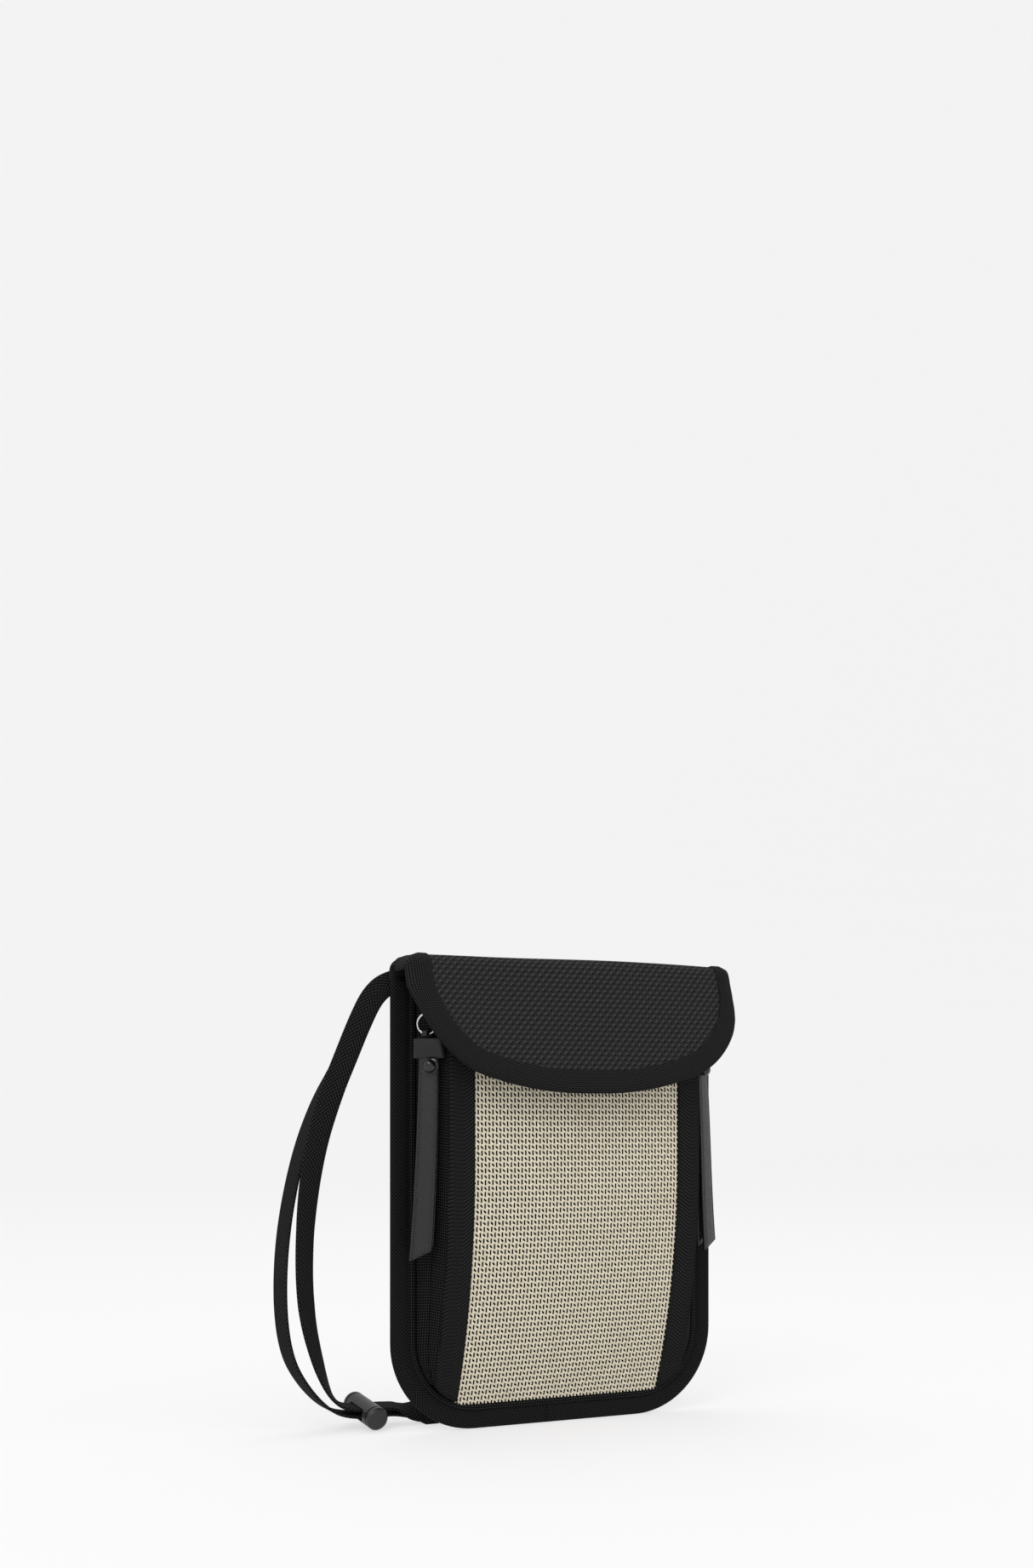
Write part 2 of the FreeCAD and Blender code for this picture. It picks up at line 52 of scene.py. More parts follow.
MM = 0.001
BACK_Y = 17.9              # the pouch's back face
HALF_WIDTH = 77.0          # from the middle to the outer edge of the binding
CORNER_R = 38.0            # the outline's two lower corners
BINDING_W = 8.0
SEAM_IN = 10.8             # from the outer edge in to the gusset's seam
SEAM_DEPTH = 3.4           # how far that seam stands in front of the back face
FRONT_DEPTH = 22.5         # the front panel's upper part, in front of the back face
FRONT_TOP_BEND = 114.0     # below this height the front curves back towards its foot
FRONT_BEND_R = 290.0
FRONT_PANEL_TOP = 165.0
CROWN = 2.0                # how far the middle of the front panel swells
MESH_HALF = 49.0           # half the width of the woven panel
TAPE_HALF = 59.0           # half the width out to the edge of the tapes beside it
GUSSET_TOP = 189.0
GUSSET_FOOT = 23.0
GUSSET_RIM_X = HALF_WIDTH - SEAM_IN - 0.1
HEIGHT = 200.0
FLAP_DEPTH = 38.0          # the flap's lower edge, in front of the back face
FLAP_LOW = 142.5           # the lowest point of the flap's edge
FLAP_FOOT_Z = 191.0        # where the flap is sewn to the back
FLAP_CORNER_R = 6.5        # its two bends over the pouch's top
FLAP_FRONT_TOP = 24.5      # its front bend, in front of the back face
FLAP_BINDING_W = 9.4
STRAP_W = 10.0
STRAP_T = 1.25
SIDES = (("left", -1), ("right", 1))


# ---- camera and light ----
WORLD_STRENGTH = 0.945
FLOOR_GREY = 0.28
FLOOR_GLOW = 0.636
SWEEP_START = 3.0          # metres behind the pouch, where the floor turns up
SWEEP_R = 1.0
SWEEP_TOP = 5.0
SWEEP_HALF = 6.0


def make_camera():
    data = bpy.data.cameras.new("camera")
    data.lens = 37.64
    data.sensor_width = 36.0
    data.shift_y = 0.209
    camera = bpy.data.objects.new("camera", data)
    camera.location = (-0.3171, -0.6228, 0.1345)
    camera.rotation_euler = (math.radians(90), 0, math.radians(-25))
    bpy.context.collection.objects.link(camera)
    bpy.context.scene.camera = camera
    bpy.context.scene.view_settings.view_transform = "Standard"


def area_light(name, place, size, power):
    """A rectangular light of a size in metres and a power in watts, aimed at the pouch's middle."""
    data = bpy.data.lights.new(name, "AREA")
    data.shape = "RECTANGLE"
    data.size, data.size_y = size
    data.energy = power
    light = bpy.data.objects.new(name, data)
    light.location = place
    aim = Vector((0, 0, 0.1)) - Vector(place)
    light.rotation_euler = aim.to_track_quat("-Z", "Y").to_euler()
    bpy.context.collection.objects.link(light)


def make_studio():
    world = bpy.data.worlds.new("studio")
    bpy.context.scene.world = world
    world.use_nodes = True
    background = world.node_tree.nodes["Background"]
    background.inputs[0].default_value = (1.0, 0.995, 1.0, 1)
    background.inputs[1].default_value = WORLD_STRENGTH
    area_light("key", (-0.9, -0.9, 1.3), (0.7, 0.7), 6)
    area_light("fill", (1.2, -0.7, 0.7), (0.5, 0.9), 2)
    area_light("top", (0.0, 0.3, 1.5), (0.8, 0.8), 3)


def make_floor():
    """A pale sweep: flat floor, then a quarter turn up into a backdrop far behind."""
    profile = [(-SWEEP_START, 0.0), (SWEEP_START, 0.0)]
    for a in np.linspace(0, math.pi / 2, 13)[1:]:
        profile.append((SWEEP_START + SWEEP_R * math.sin(a), SWEEP_R - SWEEP_R * math.cos(a)))
    profile.append((SWEEP_START + SWEEP_R, SWEEP_TOP))
    verts = []
    for x in (-SWEEP_HALF, SWEEP_HALF):
        verts += [(x, y, z) for y, z in profile]
    n = len(profile)
    faces = [(k, k + 1, n + k + 1, n + k) for k in range(n - 1)]
    mesh = bpy.data.meshes.new("floor")
    mesh.from_pydata(verts, [], faces)
    floor = bpy.data.objects.new("floor", mesh)
    bpy.context.collection.objects.link(floor)
    paper = Nodes("floor_paper", roughness=1.0, Base_Color=(FLOOR_GREY, FLOOR_GREY, FLOOR_GREY, 1),
                  Specular_IOR_Level=0.0, Emission_Color=(1.0, 0.992, 1.0, 1), Emission_Strength=FLOOR_GLOW)
    mesh.materials.append(paper.material)


# ---- node material helper ----
class Nodes:
    """Short calls that add nodes to one material and return their output sockets."""

    def __init__(self, name, roughness, **fixed):
        self.material = bpy.data.materials.new(name)
        self.material.use_nodes = True
        self.tree = self.material.node_tree
        self.bsdf = self.tree.nodes["Principled BSDF"]
        self.bsdf.inputs["Roughness"].default_value = roughness
        for key, value in fixed.items():
            self.bsdf.inputs[key.replace("_", " ")].default_value = value

    def put(self, socket, value):
        """Link an output socket, or set a constant."""
        if hasattr(value, "is_output"):
            self.tree.links.new(value, socket)
        else:
            socket.default_value = value

    def math(self, operation, a, b=0.0, c=0.0):
        node = self.tree.nodes.new("ShaderNodeMath")
        node.operation = operation
        for socket, value in zip(node.inputs, (a, b, c)):
            self.put(socket, value)
        return node.outputs[0]

    def total(self, *parts):
        """The weighted sum of pairs of a value and its weight."""
        result = self.math("MULTIPLY", *parts[0])
        for value, weight in parts[1:]:
            result = self.math("MULTIPLY_ADD", value, weight, result)
        return result

    def wave(self, value, pitch):
        """A rounded ripple from 0 to 1 of a given pitch."""
        turn = self.math("MULTIPLY", value, 2 * math.pi / pitch)
        return self.math("MULTIPLY_ADD", self.math("SINE", turn), 0.5, 0.5)

    def uv(self):
        """The two surface coordinates in millimetres."""
        node = self.tree.nodes.new("ShaderNodeUVMap")
        node.uv_map = "UVMap"
        split = self.tree.nodes.new("ShaderNodeSeparateXYZ")
        self.tree.links.new(node.outputs[0], split.inputs[0])
        return split.outputs[0], split.outputs[1]

    def place(self):
        """The point in the piece's own metres."""
        return self.tree.nodes.new("ShaderNodeTexCoord").outputs["Object"]

    def noise(self, scale, detail=3.0):
        node = self.tree.nodes.new("ShaderNodeTexNoise")
        node.inputs["Scale"].default_value = scale
        node.inputs["Detail"].default_value = detail
        self.tree.links.new(self.place(), node.inputs["Vector"])
        return node.outputs[0]

    def cells(self, scale):
        """The distance to the nearest of many scattered points, which gives rounded pits."""
        node = self.tree.nodes.new("ShaderNodeTexVoronoi")
        node.inputs["Scale"].default_value = scale
        self.tree.links.new(self.place(), node.inputs["Vector"])
        return node.outputs["Distance"]

    def colour(self, value, *stops):
        """Colour the surface by a value, through stops of a place and a grey level or an RGB colour."""
        node = self.tree.nodes.new("ShaderNodeValToRGB")
        elements = node.color_ramp.elements
        while len(elements) < len(stops):
            elements.new(0.5)
        for element, (place, colour) in zip(elements, stops):
            rgb = colour if isinstance(colour, tuple) else (colour, colour, colour)
            element.position = place
            element.color = (*rgb, 1)
        self.put(node.inputs[0], value)
        self.tree.links.new(node.outputs[0], self.bsdf.inputs["Base Color"])

    def rough(self, value, low, high):
        """A roughness that runs from low to high as the value runs from 0 to 1."""
        spread = self.math("MULTIPLY_ADD", value, high - low, low)
        self.tree.links.new(spread, self.bsdf.inputs["Roughness"])

    def bump(self, height, distance, strength=1.0):
        node = self.tree.nodes.new("ShaderNodeBump")
        node.inputs["Distance"].default_value = distance
        node.inputs["Strength"].default_value = strength
        self.tree.links.new(height, node.inputs["Height"])
        self.tree.links.new(node.outputs[0], self.bsdf.inputs["Normal"])


def herringbone(name, zone, rib=1.5, slope=1.1, base=0.007, light=0.042):
    """Twill tape: diagonal ribs that turn back at every zone across its width, crossed by a fine weft. Its
    colour follows the rib height: a painted highlight on the raised ribs and painted shade between them, over
    the fuzz's real tone.
    """
    n = Nodes(name, roughness=0.8, Specular_IOR_Level=0.05)
    along, across = n.uv()
    fold = n.math("PINGPONG", across, zone)
    ribs = n.wave(n.math("MULTIPLY_ADD", fold, slope, along), rib)
    weft = n.wave(across, 0.82)
    height = n.math("MULTIPLY", ribs, n.math("MULTIPLY_ADD", weft, 0.65, 0.35))
    fuzz = n.noise(2600)
    # Painted highlight on the raised ribs and painted shade in the grooves, mixed with the fuzz's real tone;
    # light sets the highlight's colour.
    painted_shading_and_tone = n.total((height, 0.75), (fuzz, 0.25))
    n.colour(painted_shading_and_tone, (0.1, base * 0.4), (0.5, base * 1.5), (0.95, light))
    n.rough(fuzz, 0.68, 0.9)
    n.bump(height, 0.0003)
    return n.material


def grosgrain(name):
    """Flap tape: rows of small square ribs that run along it, each row half a step on. Its colour follows the
    rib height: a painted highlight on each rib and painted shade between them.
    """
    n = Nodes(name, roughness=0.8, Specular_IOR_Level=0.05)
    along, across = n.uv()
    row_width = 0.85
    row = n.math("FLOOR", n.math("DIVIDE", across, row_width))
    ribs = n.wave(n.math("MULTIPLY_ADD", row, 0.3, along), 0.8)
    height = n.math("MULTIPLY", ribs, n.wave(across, row_width))
    fuzz = n.noise(2600)
    # Painted highlight on the raised ribs and painted shade between them, mixed with the fuzz's real tone.
    painted_shading_and_tone = n.total((height, 0.8), (fuzz, 0.2))
    n.colour(painted_shading_and_tone, (0.08, 0.002), (0.22, 0.010), (0.5, 0.028), (0.95, 0.048))
    n.rough(fuzz, 0.68, 0.9)
    n.bump(height, 0.0003)
    return n.material


def knit(name):
    """Zipper tape: short raised stitches in columns, with a painted highlight on each stitch and painted
    shade between them.
    """
    n = Nodes(name, roughness=0.8, Specular_IOR_Level=0.06)
    along, across = n.uv()
    pitch = 1.15
    height = n.math("MULTIPLY", n.wave(along, pitch), n.wave(across, pitch))
    fuzz = n.noise(2400)
    # Painted highlight on the raised stitches and painted shade between them, mixed with the fuzz's real
    # tone.
    painted_shading_and_tone = n.total((height, 0.8), (fuzz, 0.2))
    n.colour(painted_shading_and_tone, (0.1, 0.0028), (0.45, 0.0098), (0.95, 0.06))
    n.rough(fuzz, 0.66, 0.88)
    n.bump(height, 0.0004)
    return n.material


def dobby(name):
    """Flap cloth: staggered slanting knots with a small pit beside each, crossed by fine threads. Its colour
    follows the height: a painted highlight on the knots and threads and painted shade in the pits.
    """
    n = Nodes(name, roughness=0.7, Specular_IOR_Level=0.07)
    down, across = n.uv()
    row_height = 2.12
    column_width = 3.2
    row = n.math("DIVIDE", down, row_height)
    column = n.math("MULTIPLY_ADD", n.math("FLOOR", row), 0.6, n.math("DIVIDE", across, column_width))
    x = n.math("MULTIPLY", n.math("SUBTRACT", n.math("FRACT", column), 0.5), column_width)
    y = n.math("MULTIPLY", n.math("SUBTRACT", n.math("FRACT", row), 0.5), row_height)

    def spot(dx, dy, half_long, half_short):
        """A slanting oval in each cell, 1 at its middle and 0 from its rim on."""
        u = n.math("SUBTRACT", x, dx)
        v = n.math("SUBTRACT", y, dy)
        a = n.math("DIVIDE", n.total((u, 0.86), (v, -0.51)), half_long)
        b = n.math("DIVIDE", n.total((v, 0.86), (u, 0.51)), half_short)
        far = n.math("ADD", n.math("POWER", a, 2.0), n.math("POWER", b, 2.0))
        return n.math("SUBTRACT", 1.0, n.math("MINIMUM", far, 1.0))

    knot = spot(-0.25, -0.2, 1.35, 0.7)
    pit = spot(0.35, 0.4, 0.75, 0.5)
    threads = n.wave(n.math("MULTIPLY_ADD", down, -0.8, across), 0.85)
    height = n.math("ADD", n.total((knot, 0.34), (pit, -0.40), (threads, 0.36)), 0.24)
    fuzz = n.noise(2200)
    # Painted highlight on the knots and threads and painted shade in each pit, mixed with the fuzz's real
    # tone.
    painted_shading_and_tone = n.total((height, 0.9), (fuzz, 0.16))
    n.colour(painted_shading_and_tone, (0.08, 0.002), (0.42, 0.013), (0.95, 0.062))
    n.rough(knot, 0.85, 0.6)
    n.bump(height, 0.0004)
    return n.material


def plain_cloth(name, base=0.006, light=0.024):
    """A fine plain weave, with a painted highlight where the threads rise and painted shade between them."""
    n = Nodes(name, roughness=0.85, Specular_IOR_Level=0.1)
    along, across = n.uv()
    pitch = 0.6
    height = n.math("MULTIPLY", n.wave(along, pitch), n.wave(across, pitch))
    fuzz = n.noise(1800)
    # Painted highlight on the raised threads and painted shade between them, mixed with the fuzz's real tone.
    painted_shading_and_tone = n.total((height, 0.6), (fuzz, 0.4))
    n.colour(painted_shading_and_tone, (0.1, base * 0.5), (0.6, base * 1.5), (1.0, light))
    n.rough(fuzz, 0.75, 0.95)
    n.bump(height, 0.00012, 0.8)
    return n.material


def straw(name):
    """Cream yarn of the woven front: twisted fibres, with a painted highlight on their crests."""
    n = Nodes(name, roughness=0.55, Specular_IOR_Level=0.2)
    along, across = n.uv()
    fibre = n.wave(n.math("MULTIPLY_ADD", across, 0.7, along), 0.45)
    patch = n.noise(500, 2.0)
    grain = n.noise(3000, 2.0)
    # Painted highlight on the fibre crests, mixed with the yarn's real patchy tone and grain.
    painted_shading_and_tone = n.total((fibre, 0.25), (patch, 0.45), (grain, 0.3))
    n.colour(painted_shading_and_tone, (0.2, (0.45, 0.385, 0.265)), (0.5, (0.70, 0.645, 0.50)), (0.8, (0.87, 0.82, 0.70)))
    n.rough(grain, 0.45, 0.7)
    n.bump(fibre, 0.00005, 0.6)
    return n.material


def leather(name):
    """Soft black leather with a fine pebbled grain; its colour is darker in the pebble pits, which is painted
    shade, and varies in wide patches of real tone.
    """
    n = Nodes(name, roughness=0.4, Specular_IOR_Level=0.42)
    pebbles = n.cells(1300)
    wide = n.noise(60)
    fine = n.noise(2600, 2.0)
    height = n.total((pebbles, 0.8), (fine, 0.3))
    # Painted shade in the pebble pits, mixed with wide patches of the leather's real tone.
    painted_shading_and_tone = n.total((pebbles, 0.6), (wide, 0.3))
    n.colour(painted_shading_and_tone, (0.1, 0.005), (0.5, 0.009), (0.9, 0.016))
    n.rough(wide, 0.34, 0.44)
    n.bump(height, 0.00025)
    return n.material


def smooth_leather(name):
    """The band's leather, pulled tight so that its grain hardly shows."""
    n = Nodes(name, roughness=0.4, Specular_IOR_Level=0.35)
    wide = n.noise(60)
    fine = n.noise(2600, 2.0)
    n.colour(wide, (0.3, 0.005), (0.7, 0.010))
    n.rough(wide, 0.34, 0.46)
    n.bump(fine, 0.00003, 0.6)
    return n.material


def metal(name, level, roughness, metallic=1.0):
    """Metal of one grey level, or a metallic paint, with faint wear."""
    n = Nodes(name, roughness=roughness, Metallic=metallic)
    wear = n.noise(240, 4.0)
    n.colour(wear, (0.3, level * 0.85), (0.7, level * 1.1))
    n.rough(wear, roughness * 0.85, roughness * 1.2)
    n.bump(n.noise(1400, 2.0), 0.00001, 0.4)
    return n.material


def gloss(name):
    """Glossy black plastic."""
    n = Nodes(name, roughness=0.12)
    wear = n.noise(300)
    n.colour(wear, (0.3, 0.006), (0.7, 0.010))
    n.rough(wear, 0.08, 0.16)
    return n.material


# In the woven materials below, light is the colour of the painted highlight on the raised weave. Base is the
# cloth's own dark colour, which painted shade between the threads darkens further.
BINDING = herringbone("binding_tape", zone=4.2)
FLAP_TAPE = grosgrain("flap_tape")
FRONT_TAPE = herringbone("front_tape", zone=5.0, rib=1.6, slope=1.3, base=0.009, light=0.05)
WEBBING = herringbone("strap_webbing", zone=5.0, rib=1.9, slope=1.4, base=0.008, light=0.064)
ZIP_TAPE = knit("zip_tape")
FLAP_CLOTH = dobby("flap_cloth")
BODY_CLOTH = plain_cloth("body_cloth")
LINING = plain_cloth("lining_cloth", base=0.012, light=0.04)
DARK_BACKING = plain_cloth("dark_backing", base=0.004, light=0.014)
STRAW = straw("straw_yarn")
LEATHER = leather("leather")
BAND_LEATHER = smooth_leather("band_leather")
CHROME = metal("chrome", 0.62, 0.12)
SLIDER_METAL = metal("slider_metal", 0.02, 0.35)
GUNMETAL = metal("gunmetal", 0.035, 0.4, 0.6)
STUD = gloss("stud_gloss")


# ---- mesh helpers ----
def add_mesh(name, verts, faces, uvs, material):
    """A smooth mesh object from points in millimetres; uvs holds one pair per face corner."""
    mesh = bpy.data.meshes.new(name)
    mesh.from_pydata([tuple(c * MM for c in v) for v in verts], [], faces)
    mesh.uv_layers.new(name="UVMap").data.foreach_set("uv", np.array(uvs, float).ravel())
    mesh.materials.append(material)
    mesh.polygons.foreach_set("use_smooth", [True] * len(faces))
    work = bmesh.new()
    work.from_mesh(mesh)
    bmesh.ops.recalc_face_normals(work, faces=work.faces)
    work.to_mesh(mesh)
    work.free()
    obj = bpy.data.objects.new(name, mesh)
    bpy.context.collection.objects.link(obj)
    return obj


def finish(obj, body, slot, *nodes):
    if nodes:
        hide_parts(*nodes)
    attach(obj, body)


MIDDLE = np.array([0.0, BACK_Y - 8.0, 110.0])


def lengths(points):
    """The distance along a line of points, at each of them."""
    steps = np.linalg.norm(np.diff(points, axis=0), axis=1)
    return np.concatenate([[0.0], np.cumsum(steps)])


def grid_of(point, us, vs):
    """Rows of points, one row for each u and one point in it for each v."""
    return [[point(u, v) for v in vs] for u in us]


def sheet_solid(name, grid, thickness, material, flat=None):
    """A thin closed solid whose outer face is a grid of points; it thickens towards the pouch's middle.

    UVs run in millimetres: the first along the grid's rows, the second across them, or as flat gives them.
    """
    outer = np.array(grid, float)
    rows, columns = outer.shape[:2]
    normal = np.cross(np.gradient(outer, axis=0), np.gradient(outer, axis=1))
    normal /= np.linalg.norm(normal, axis=2, keepdims=True) + 1e-12
    if np.sum(normal * (outer - MIDDLE)) < 0:
        normal = -normal
    inner = outer - normal * thickness
    along = np.stack([lengths(outer[:, c]) for c in range(columns)], axis=1)
    across = np.stack([lengths(outer[r]) for r in range(rows)], axis=0)
    if flat is not None:
        along, across = flat
    verts = np.concatenate([outer.reshape(-1, 3), inner.reshape(-1, 3)])
    size = rows * columns
    last_r = rows - 1
    last_c = columns - 1
    faces = []
    uvs = []

    def add(*cells):
        """A face through cells of the grid: row, column, and 0 for the outer side or 1 for the inner."""
        faces.append([side * size + r * columns + c for r, c, side in cells])
        uvs.extend([(along[r, c], across[r, c]) for r, c, side in cells])

    for r in range(last_r):
        for c in range(last_c):
            add((r, c, 0), (r + 1, c, 0), (r + 1, c + 1, 0), (r, c + 1, 0))
            add((r, c + 1, 1), (r + 1, c + 1, 1), (r + 1, c, 1), (r, c, 1))
    for r in range(last_r):
        add((r, 0, 0), (r, 0, 1), (r + 1, 0, 1), (r + 1, 0, 0))
        add((r, last_c, 1), (r, last_c, 0), (r + 1, last_c, 0), (r + 1, last_c, 1))
    for c in range(last_c):
        add((0, c, 1), (0, c, 0), (0, c + 1, 0), (0, c + 1, 1))
        add((last_r, c, 0), (last_r, c, 1), (last_r, c + 1, 1), (last_r, c + 1, 0))
    return add_mesh(name, verts.tolist(), faces, uvs, material)


def sweep(name, rings, material, section, closed_path=False):
    """A solid through rings of points, each ring a closed cross-section in the same order.

    UVs run in millimetres: the first along the path, the second across from the points of section.
    """
    rings = np.array(rings, float)
    count, size = rings.shape[:2]
    along = lengths(rings.mean(axis=1))
    across = lengths(np.array(section, float))
    faces = []
    uvs = []
    for k in range(count if closed_path else count - 1):
        following = (k + 1) % count
        if following:
            ahead = along[following]
        else:
            ahead = along[k] + np.linalg.norm(rings[0].mean(0) - rings[k].mean(0))
        for i in range(size):
            j = (i + 1) % size
            edge = across[j] if j else across[i] + np.linalg.norm(rings[k, j] - rings[k, i])
            faces.append([k * size + i, k * size + j, following * size + j, following * size + i])
            uvs += [(along[k], across[i]), (along[k], edge), (ahead, edge), (ahead, across[i])]
    if not closed_path:
        faces.append(list(range(size))[::-1])
        uvs += [(along[0], place) for place in across[::-1]]
        faces.append([(count - 1) * size + i for i in range(size)])
        uvs += [(along[-1], place) for place in across]
    return add_mesh(name, rings.reshape(-1, 3).tolist(), faces, uvs, material)


# ---- strap: route, then a flat woven strap along it ----
def behind(x, back, z):
    """A point a distance behind the pouch's back face."""
    return Vector((x, BACK_Y + back, z))


TOGGLE_CENTRE = behind(-80.0, 20.3, 7.0)
STRAP_AXIS = Vector((0.994522, 0.104528, 0.0))
STRAP_UP = Vector((0.015450, -0.147000, 0.989016))
PASS_IN = 7.0              # how far each strand runs straight on the toggle's two sides
PASS_OUT = 12.0
PASS_RISE = 1.5            # each strand's distance from the toggle's centre line
HANK_Z = 5.3               # the height of the put-away strap, which lies doubled behind the pouch

# Points down the front strand and up the rear one: (x, distance behind the back face, z).
FRONT_ROUTE = [
    (-67, 2.9, 190.5), (-76, 2.4, 188.8), (-82.6, 4, 183.2), (-87.6, 6, 172),
    (-93, 8, 157.5), (-98.8, 10.3, 142), (-105.6, 13, 117), (-109, 15, 84),
    (-108, 16.8, 52), (-101.6, 18, 27), (-95, 18.6, 12),
]
REAR_ROUTE = [
    (-97.5, 19.7, 8.8), (-107.8, 20.2, 19.5), (-115, 21, 33), (-117.5, 22, 55),
    (-116, 22.4, 84), (-110, 22, 115), (-102, 21, 138), (-93, 19.5, 154.5),
    (-86, 18.4, 169.5), (-79.3, 17.2, 179.5), (-71, 16.6, 186.3), (-57, 16.3, 188.2),
    (-30, 15.5, 187), (6, 12.5, 184), (36, 8, 182.5), (55, 3.4, 182.5), (66, 2.9, 183.5),
    (74, 2.9, 184.5),
]

# The put-away loops seen from above: (x, distance behind the back face).
HANK_ROUTE = [
    (-56.5, 19), (-51, 17.4), (-45, 16.9), (-15, 16.7), (20, 16.5), (46, 16.3), (62, 19.5),
    (71.8, 30), (71.8, 44), (62, 52.5), (46, 55.2), (16, 55), (-14, 54.8), (-32, 54),
    (-41.5, 46.5), (-38.5, 34.5), (-26, 32.5), (-16, 41), (-2, 49.5), (20, 51.2), (44, 51.2),
    (58.5, 48.8), (67.2, 41), (67.2, 31.5), (58.5, 23.5), (44, 20.6), (16, 20.7), (-16, 20.9),
    (-45, 20.9),
]


def through_toggle(rise):
    """The straight stretch of one strand inside the toggle: its near end and its far end."""
    middle = TOGGLE_CENTRE + STRAP_UP * rise
    return [middle - STRAP_AXIS * PASS_IN, middle + STRAP_AXIS * PASS_OUT]


ROUTE = [behind(*place) for place in FRONT_ROUTE]
ROUTE += through_toggle(PASS_RISE)
ROUTE += [behind(-62.3, 21.2, 6.0)]
ROUTE += [behind(x, back, HANK_Z) for x, back in HANK_ROUTE]
ROUTE += [behind(-53.5, 20.8, 5.1), behind(-61.5, 22.1, 5.1)]
ROUTE += through_toggle(-PASS_RISE)[::-1]
ROUTE += [behind(*place) for place in REAR_ROUTE]

# How the strap's width lies at each route point: its angle about the vertical, where 0 faces the front
# left and 90 lies edge-on to it, and how far it is tipped up towards standing on edge.
FRONT_TURN = [(5, -75), (5, -60), (5, -25), (8, 0), (12, 0), (18, 0), (32, 0), (50, 0), (56, 0), (74, 0),
              (100, 0), (121, 8)]
PASS_TURN = [(121, 8), (118, 22), (115, 55), (115, 80), (115, 90)]
HANK_TURN = [PASS_TURN[-1]] * 26
REAR_TURN = [(121, 8), (122, 4), (124, 0), (128, 0), (130, 0), (130, 0), (128, 0), (126, 0), (124, 0),
             (122, 0), (120, 0), (118, 4), (118, 15), (130, 50), (150, 80)] + [(155, 85)] * 4
TURNS = FRONT_TURN + PASS_TURN + HANK_TURN + PASS_TURN[-3::-1] + REAR_TURN
TURN_START = math.radians(25)   # the direction that the angles count from, about the vertical


def route_curve():
    """The strap's centre line as one open smooth spline."""
    data = bpy.data.curves.new("strap_line", "CURVE")
    data.dimensions = "3D"
    data.resolution_u = 16
    spline = data.splines.new("NURBS")
    spline.points.add(len(ROUTE) - 1)
    for point, place in zip(spline.points, ROUTE):
        point.co = (*(place * MM), 1)
    spline.order_u = 3
    spline.use_endpoint_u = True
    obj = bpy.data.objects.new("strap_line", data)
    bpy.context.collection.objects.link(obj)
    bpy.context.view_layer.update()
    mesh = bpy.data.meshes.new_from_object(obj)
    points = np.array([v.co for v in mesh.vertices], float) / MM
    bpy.data.meshes.remove(mesh)
    bpy.data.objects.remove(obj)
    return points


def unit_steps(line):
    """The unit direction along a line at each of its points."""
    tangent = np.gradient(line, axis=0)
    return tangent / np.linalg.norm(tangent, axis=1, keepdims=True)


def make_strap():
    """The strap's ribbon and its centre line."""
    line = route_curve()
    at = np.linspace(0, len(ROUTE) - 2, len(line)) + 0.5
    angle, tip = [np.interp(at, range(len(TURNS)), turn) for turn in np.radians(TURNS).T]
    tangent = unit_steps(line)
    right = np.array([math.cos(TURN_START), -math.sin(TURN_START), 0])
    away = np.array([math.sin(TURN_START), math.cos(TURN_START), 0])
    section = strap_section()
    rings = []
    for p, t, a, e in zip(line, tangent, angle, tip):
        flat = right * math.cos(a) + away * math.sin(a)
        wide = flat * math.cos(e) + np.array([0, 0, 1.0]) * math.sin(e)
        wide = wide - t * np.dot(wide, t)
        wide /= np.linalg.norm(wide)
        thin = np.cross(t, wide)
        rings.append([p + wide * x + thin * y for x, y in section])
    return sweep("neck_strap", rings, WEBBING, section), line


def strap_section():
    """Webbing: flat, with rounded selvedges."""
    half = STRAP_W / 2
    thick = STRAP_T / 2
    face = [(0.5 - half, -thick), (-half / 2, -thick * 0.9), (0, -thick), (half / 2, -thick * 0.9),
            (half - 0.5, -thick)]
    edge = [(half - 0.1, -thick * 0.5), (half, 0), (half - 0.1, thick * 0.5)]
    return face + edge + [(-x, -y) for x, y in face + edge]


# ---- pouch: outline, binding, back ----
CORNER_X = HALF_WIDTH - CORNER_R


def outline_path(top):
    """Points round the pouch's U outline, from the top left down and up to the top right.

    Each is (x, z) and the direction into the pouch.
    """
    step = 3.0
    left = [(-HALF_WIDTH, z, 1.0, 0.0) for z in np.arange(top, CORNER_R, -step)]
    for a in np.linspace(0, math.pi / 2, 23):
        c, s = math.cos(a), math.sin(a)
        left.append((-CORNER_X - CORNER_R * c, CORNER_R * (1 - s), c, s))
    foot = [(x, 0.0, 0.0, 1.0) for x in np.arange(-CORNER_X + step, CORNER_X - 0.1, step)]
    right = [(-x, z, -nx, nz) for x, z, nx, nz in left]
    return left + foot + right[::-1]


def half_width(z, inset):
    """Half the outline's width at a height, at an inset."""
    if z < CORNER_R:
        return CORNER_X + math.sqrt(max((CORNER_R - inset) ** 2 - (CORNER_R - z) ** 2, 0.0))
    return HALF_WIDTH - inset


def binding_section(width, front, back, edge_r):
    """Folded tape over an edge, as (distance in from the edge, depth): front face, round edge, back face."""
    points = [(width, front - 0.9), (width, front - 0.25), (width - 0.35, front), (width * 0.6, front + 0.18),
              (width * 0.3, front + 0.15)]
    middle = (front + back) / 2
    half = (front - back) / 2
    for a in np.linspace(0, math.pi, 7):
        points.append((edge_r - edge_r * math.sin(a), middle + half * math.cos(a)))
    points += [(width * 0.4, back - 0.1), (width - 0.3, back), (width, back + 0.3), (width, back + 0.9)]
    return points


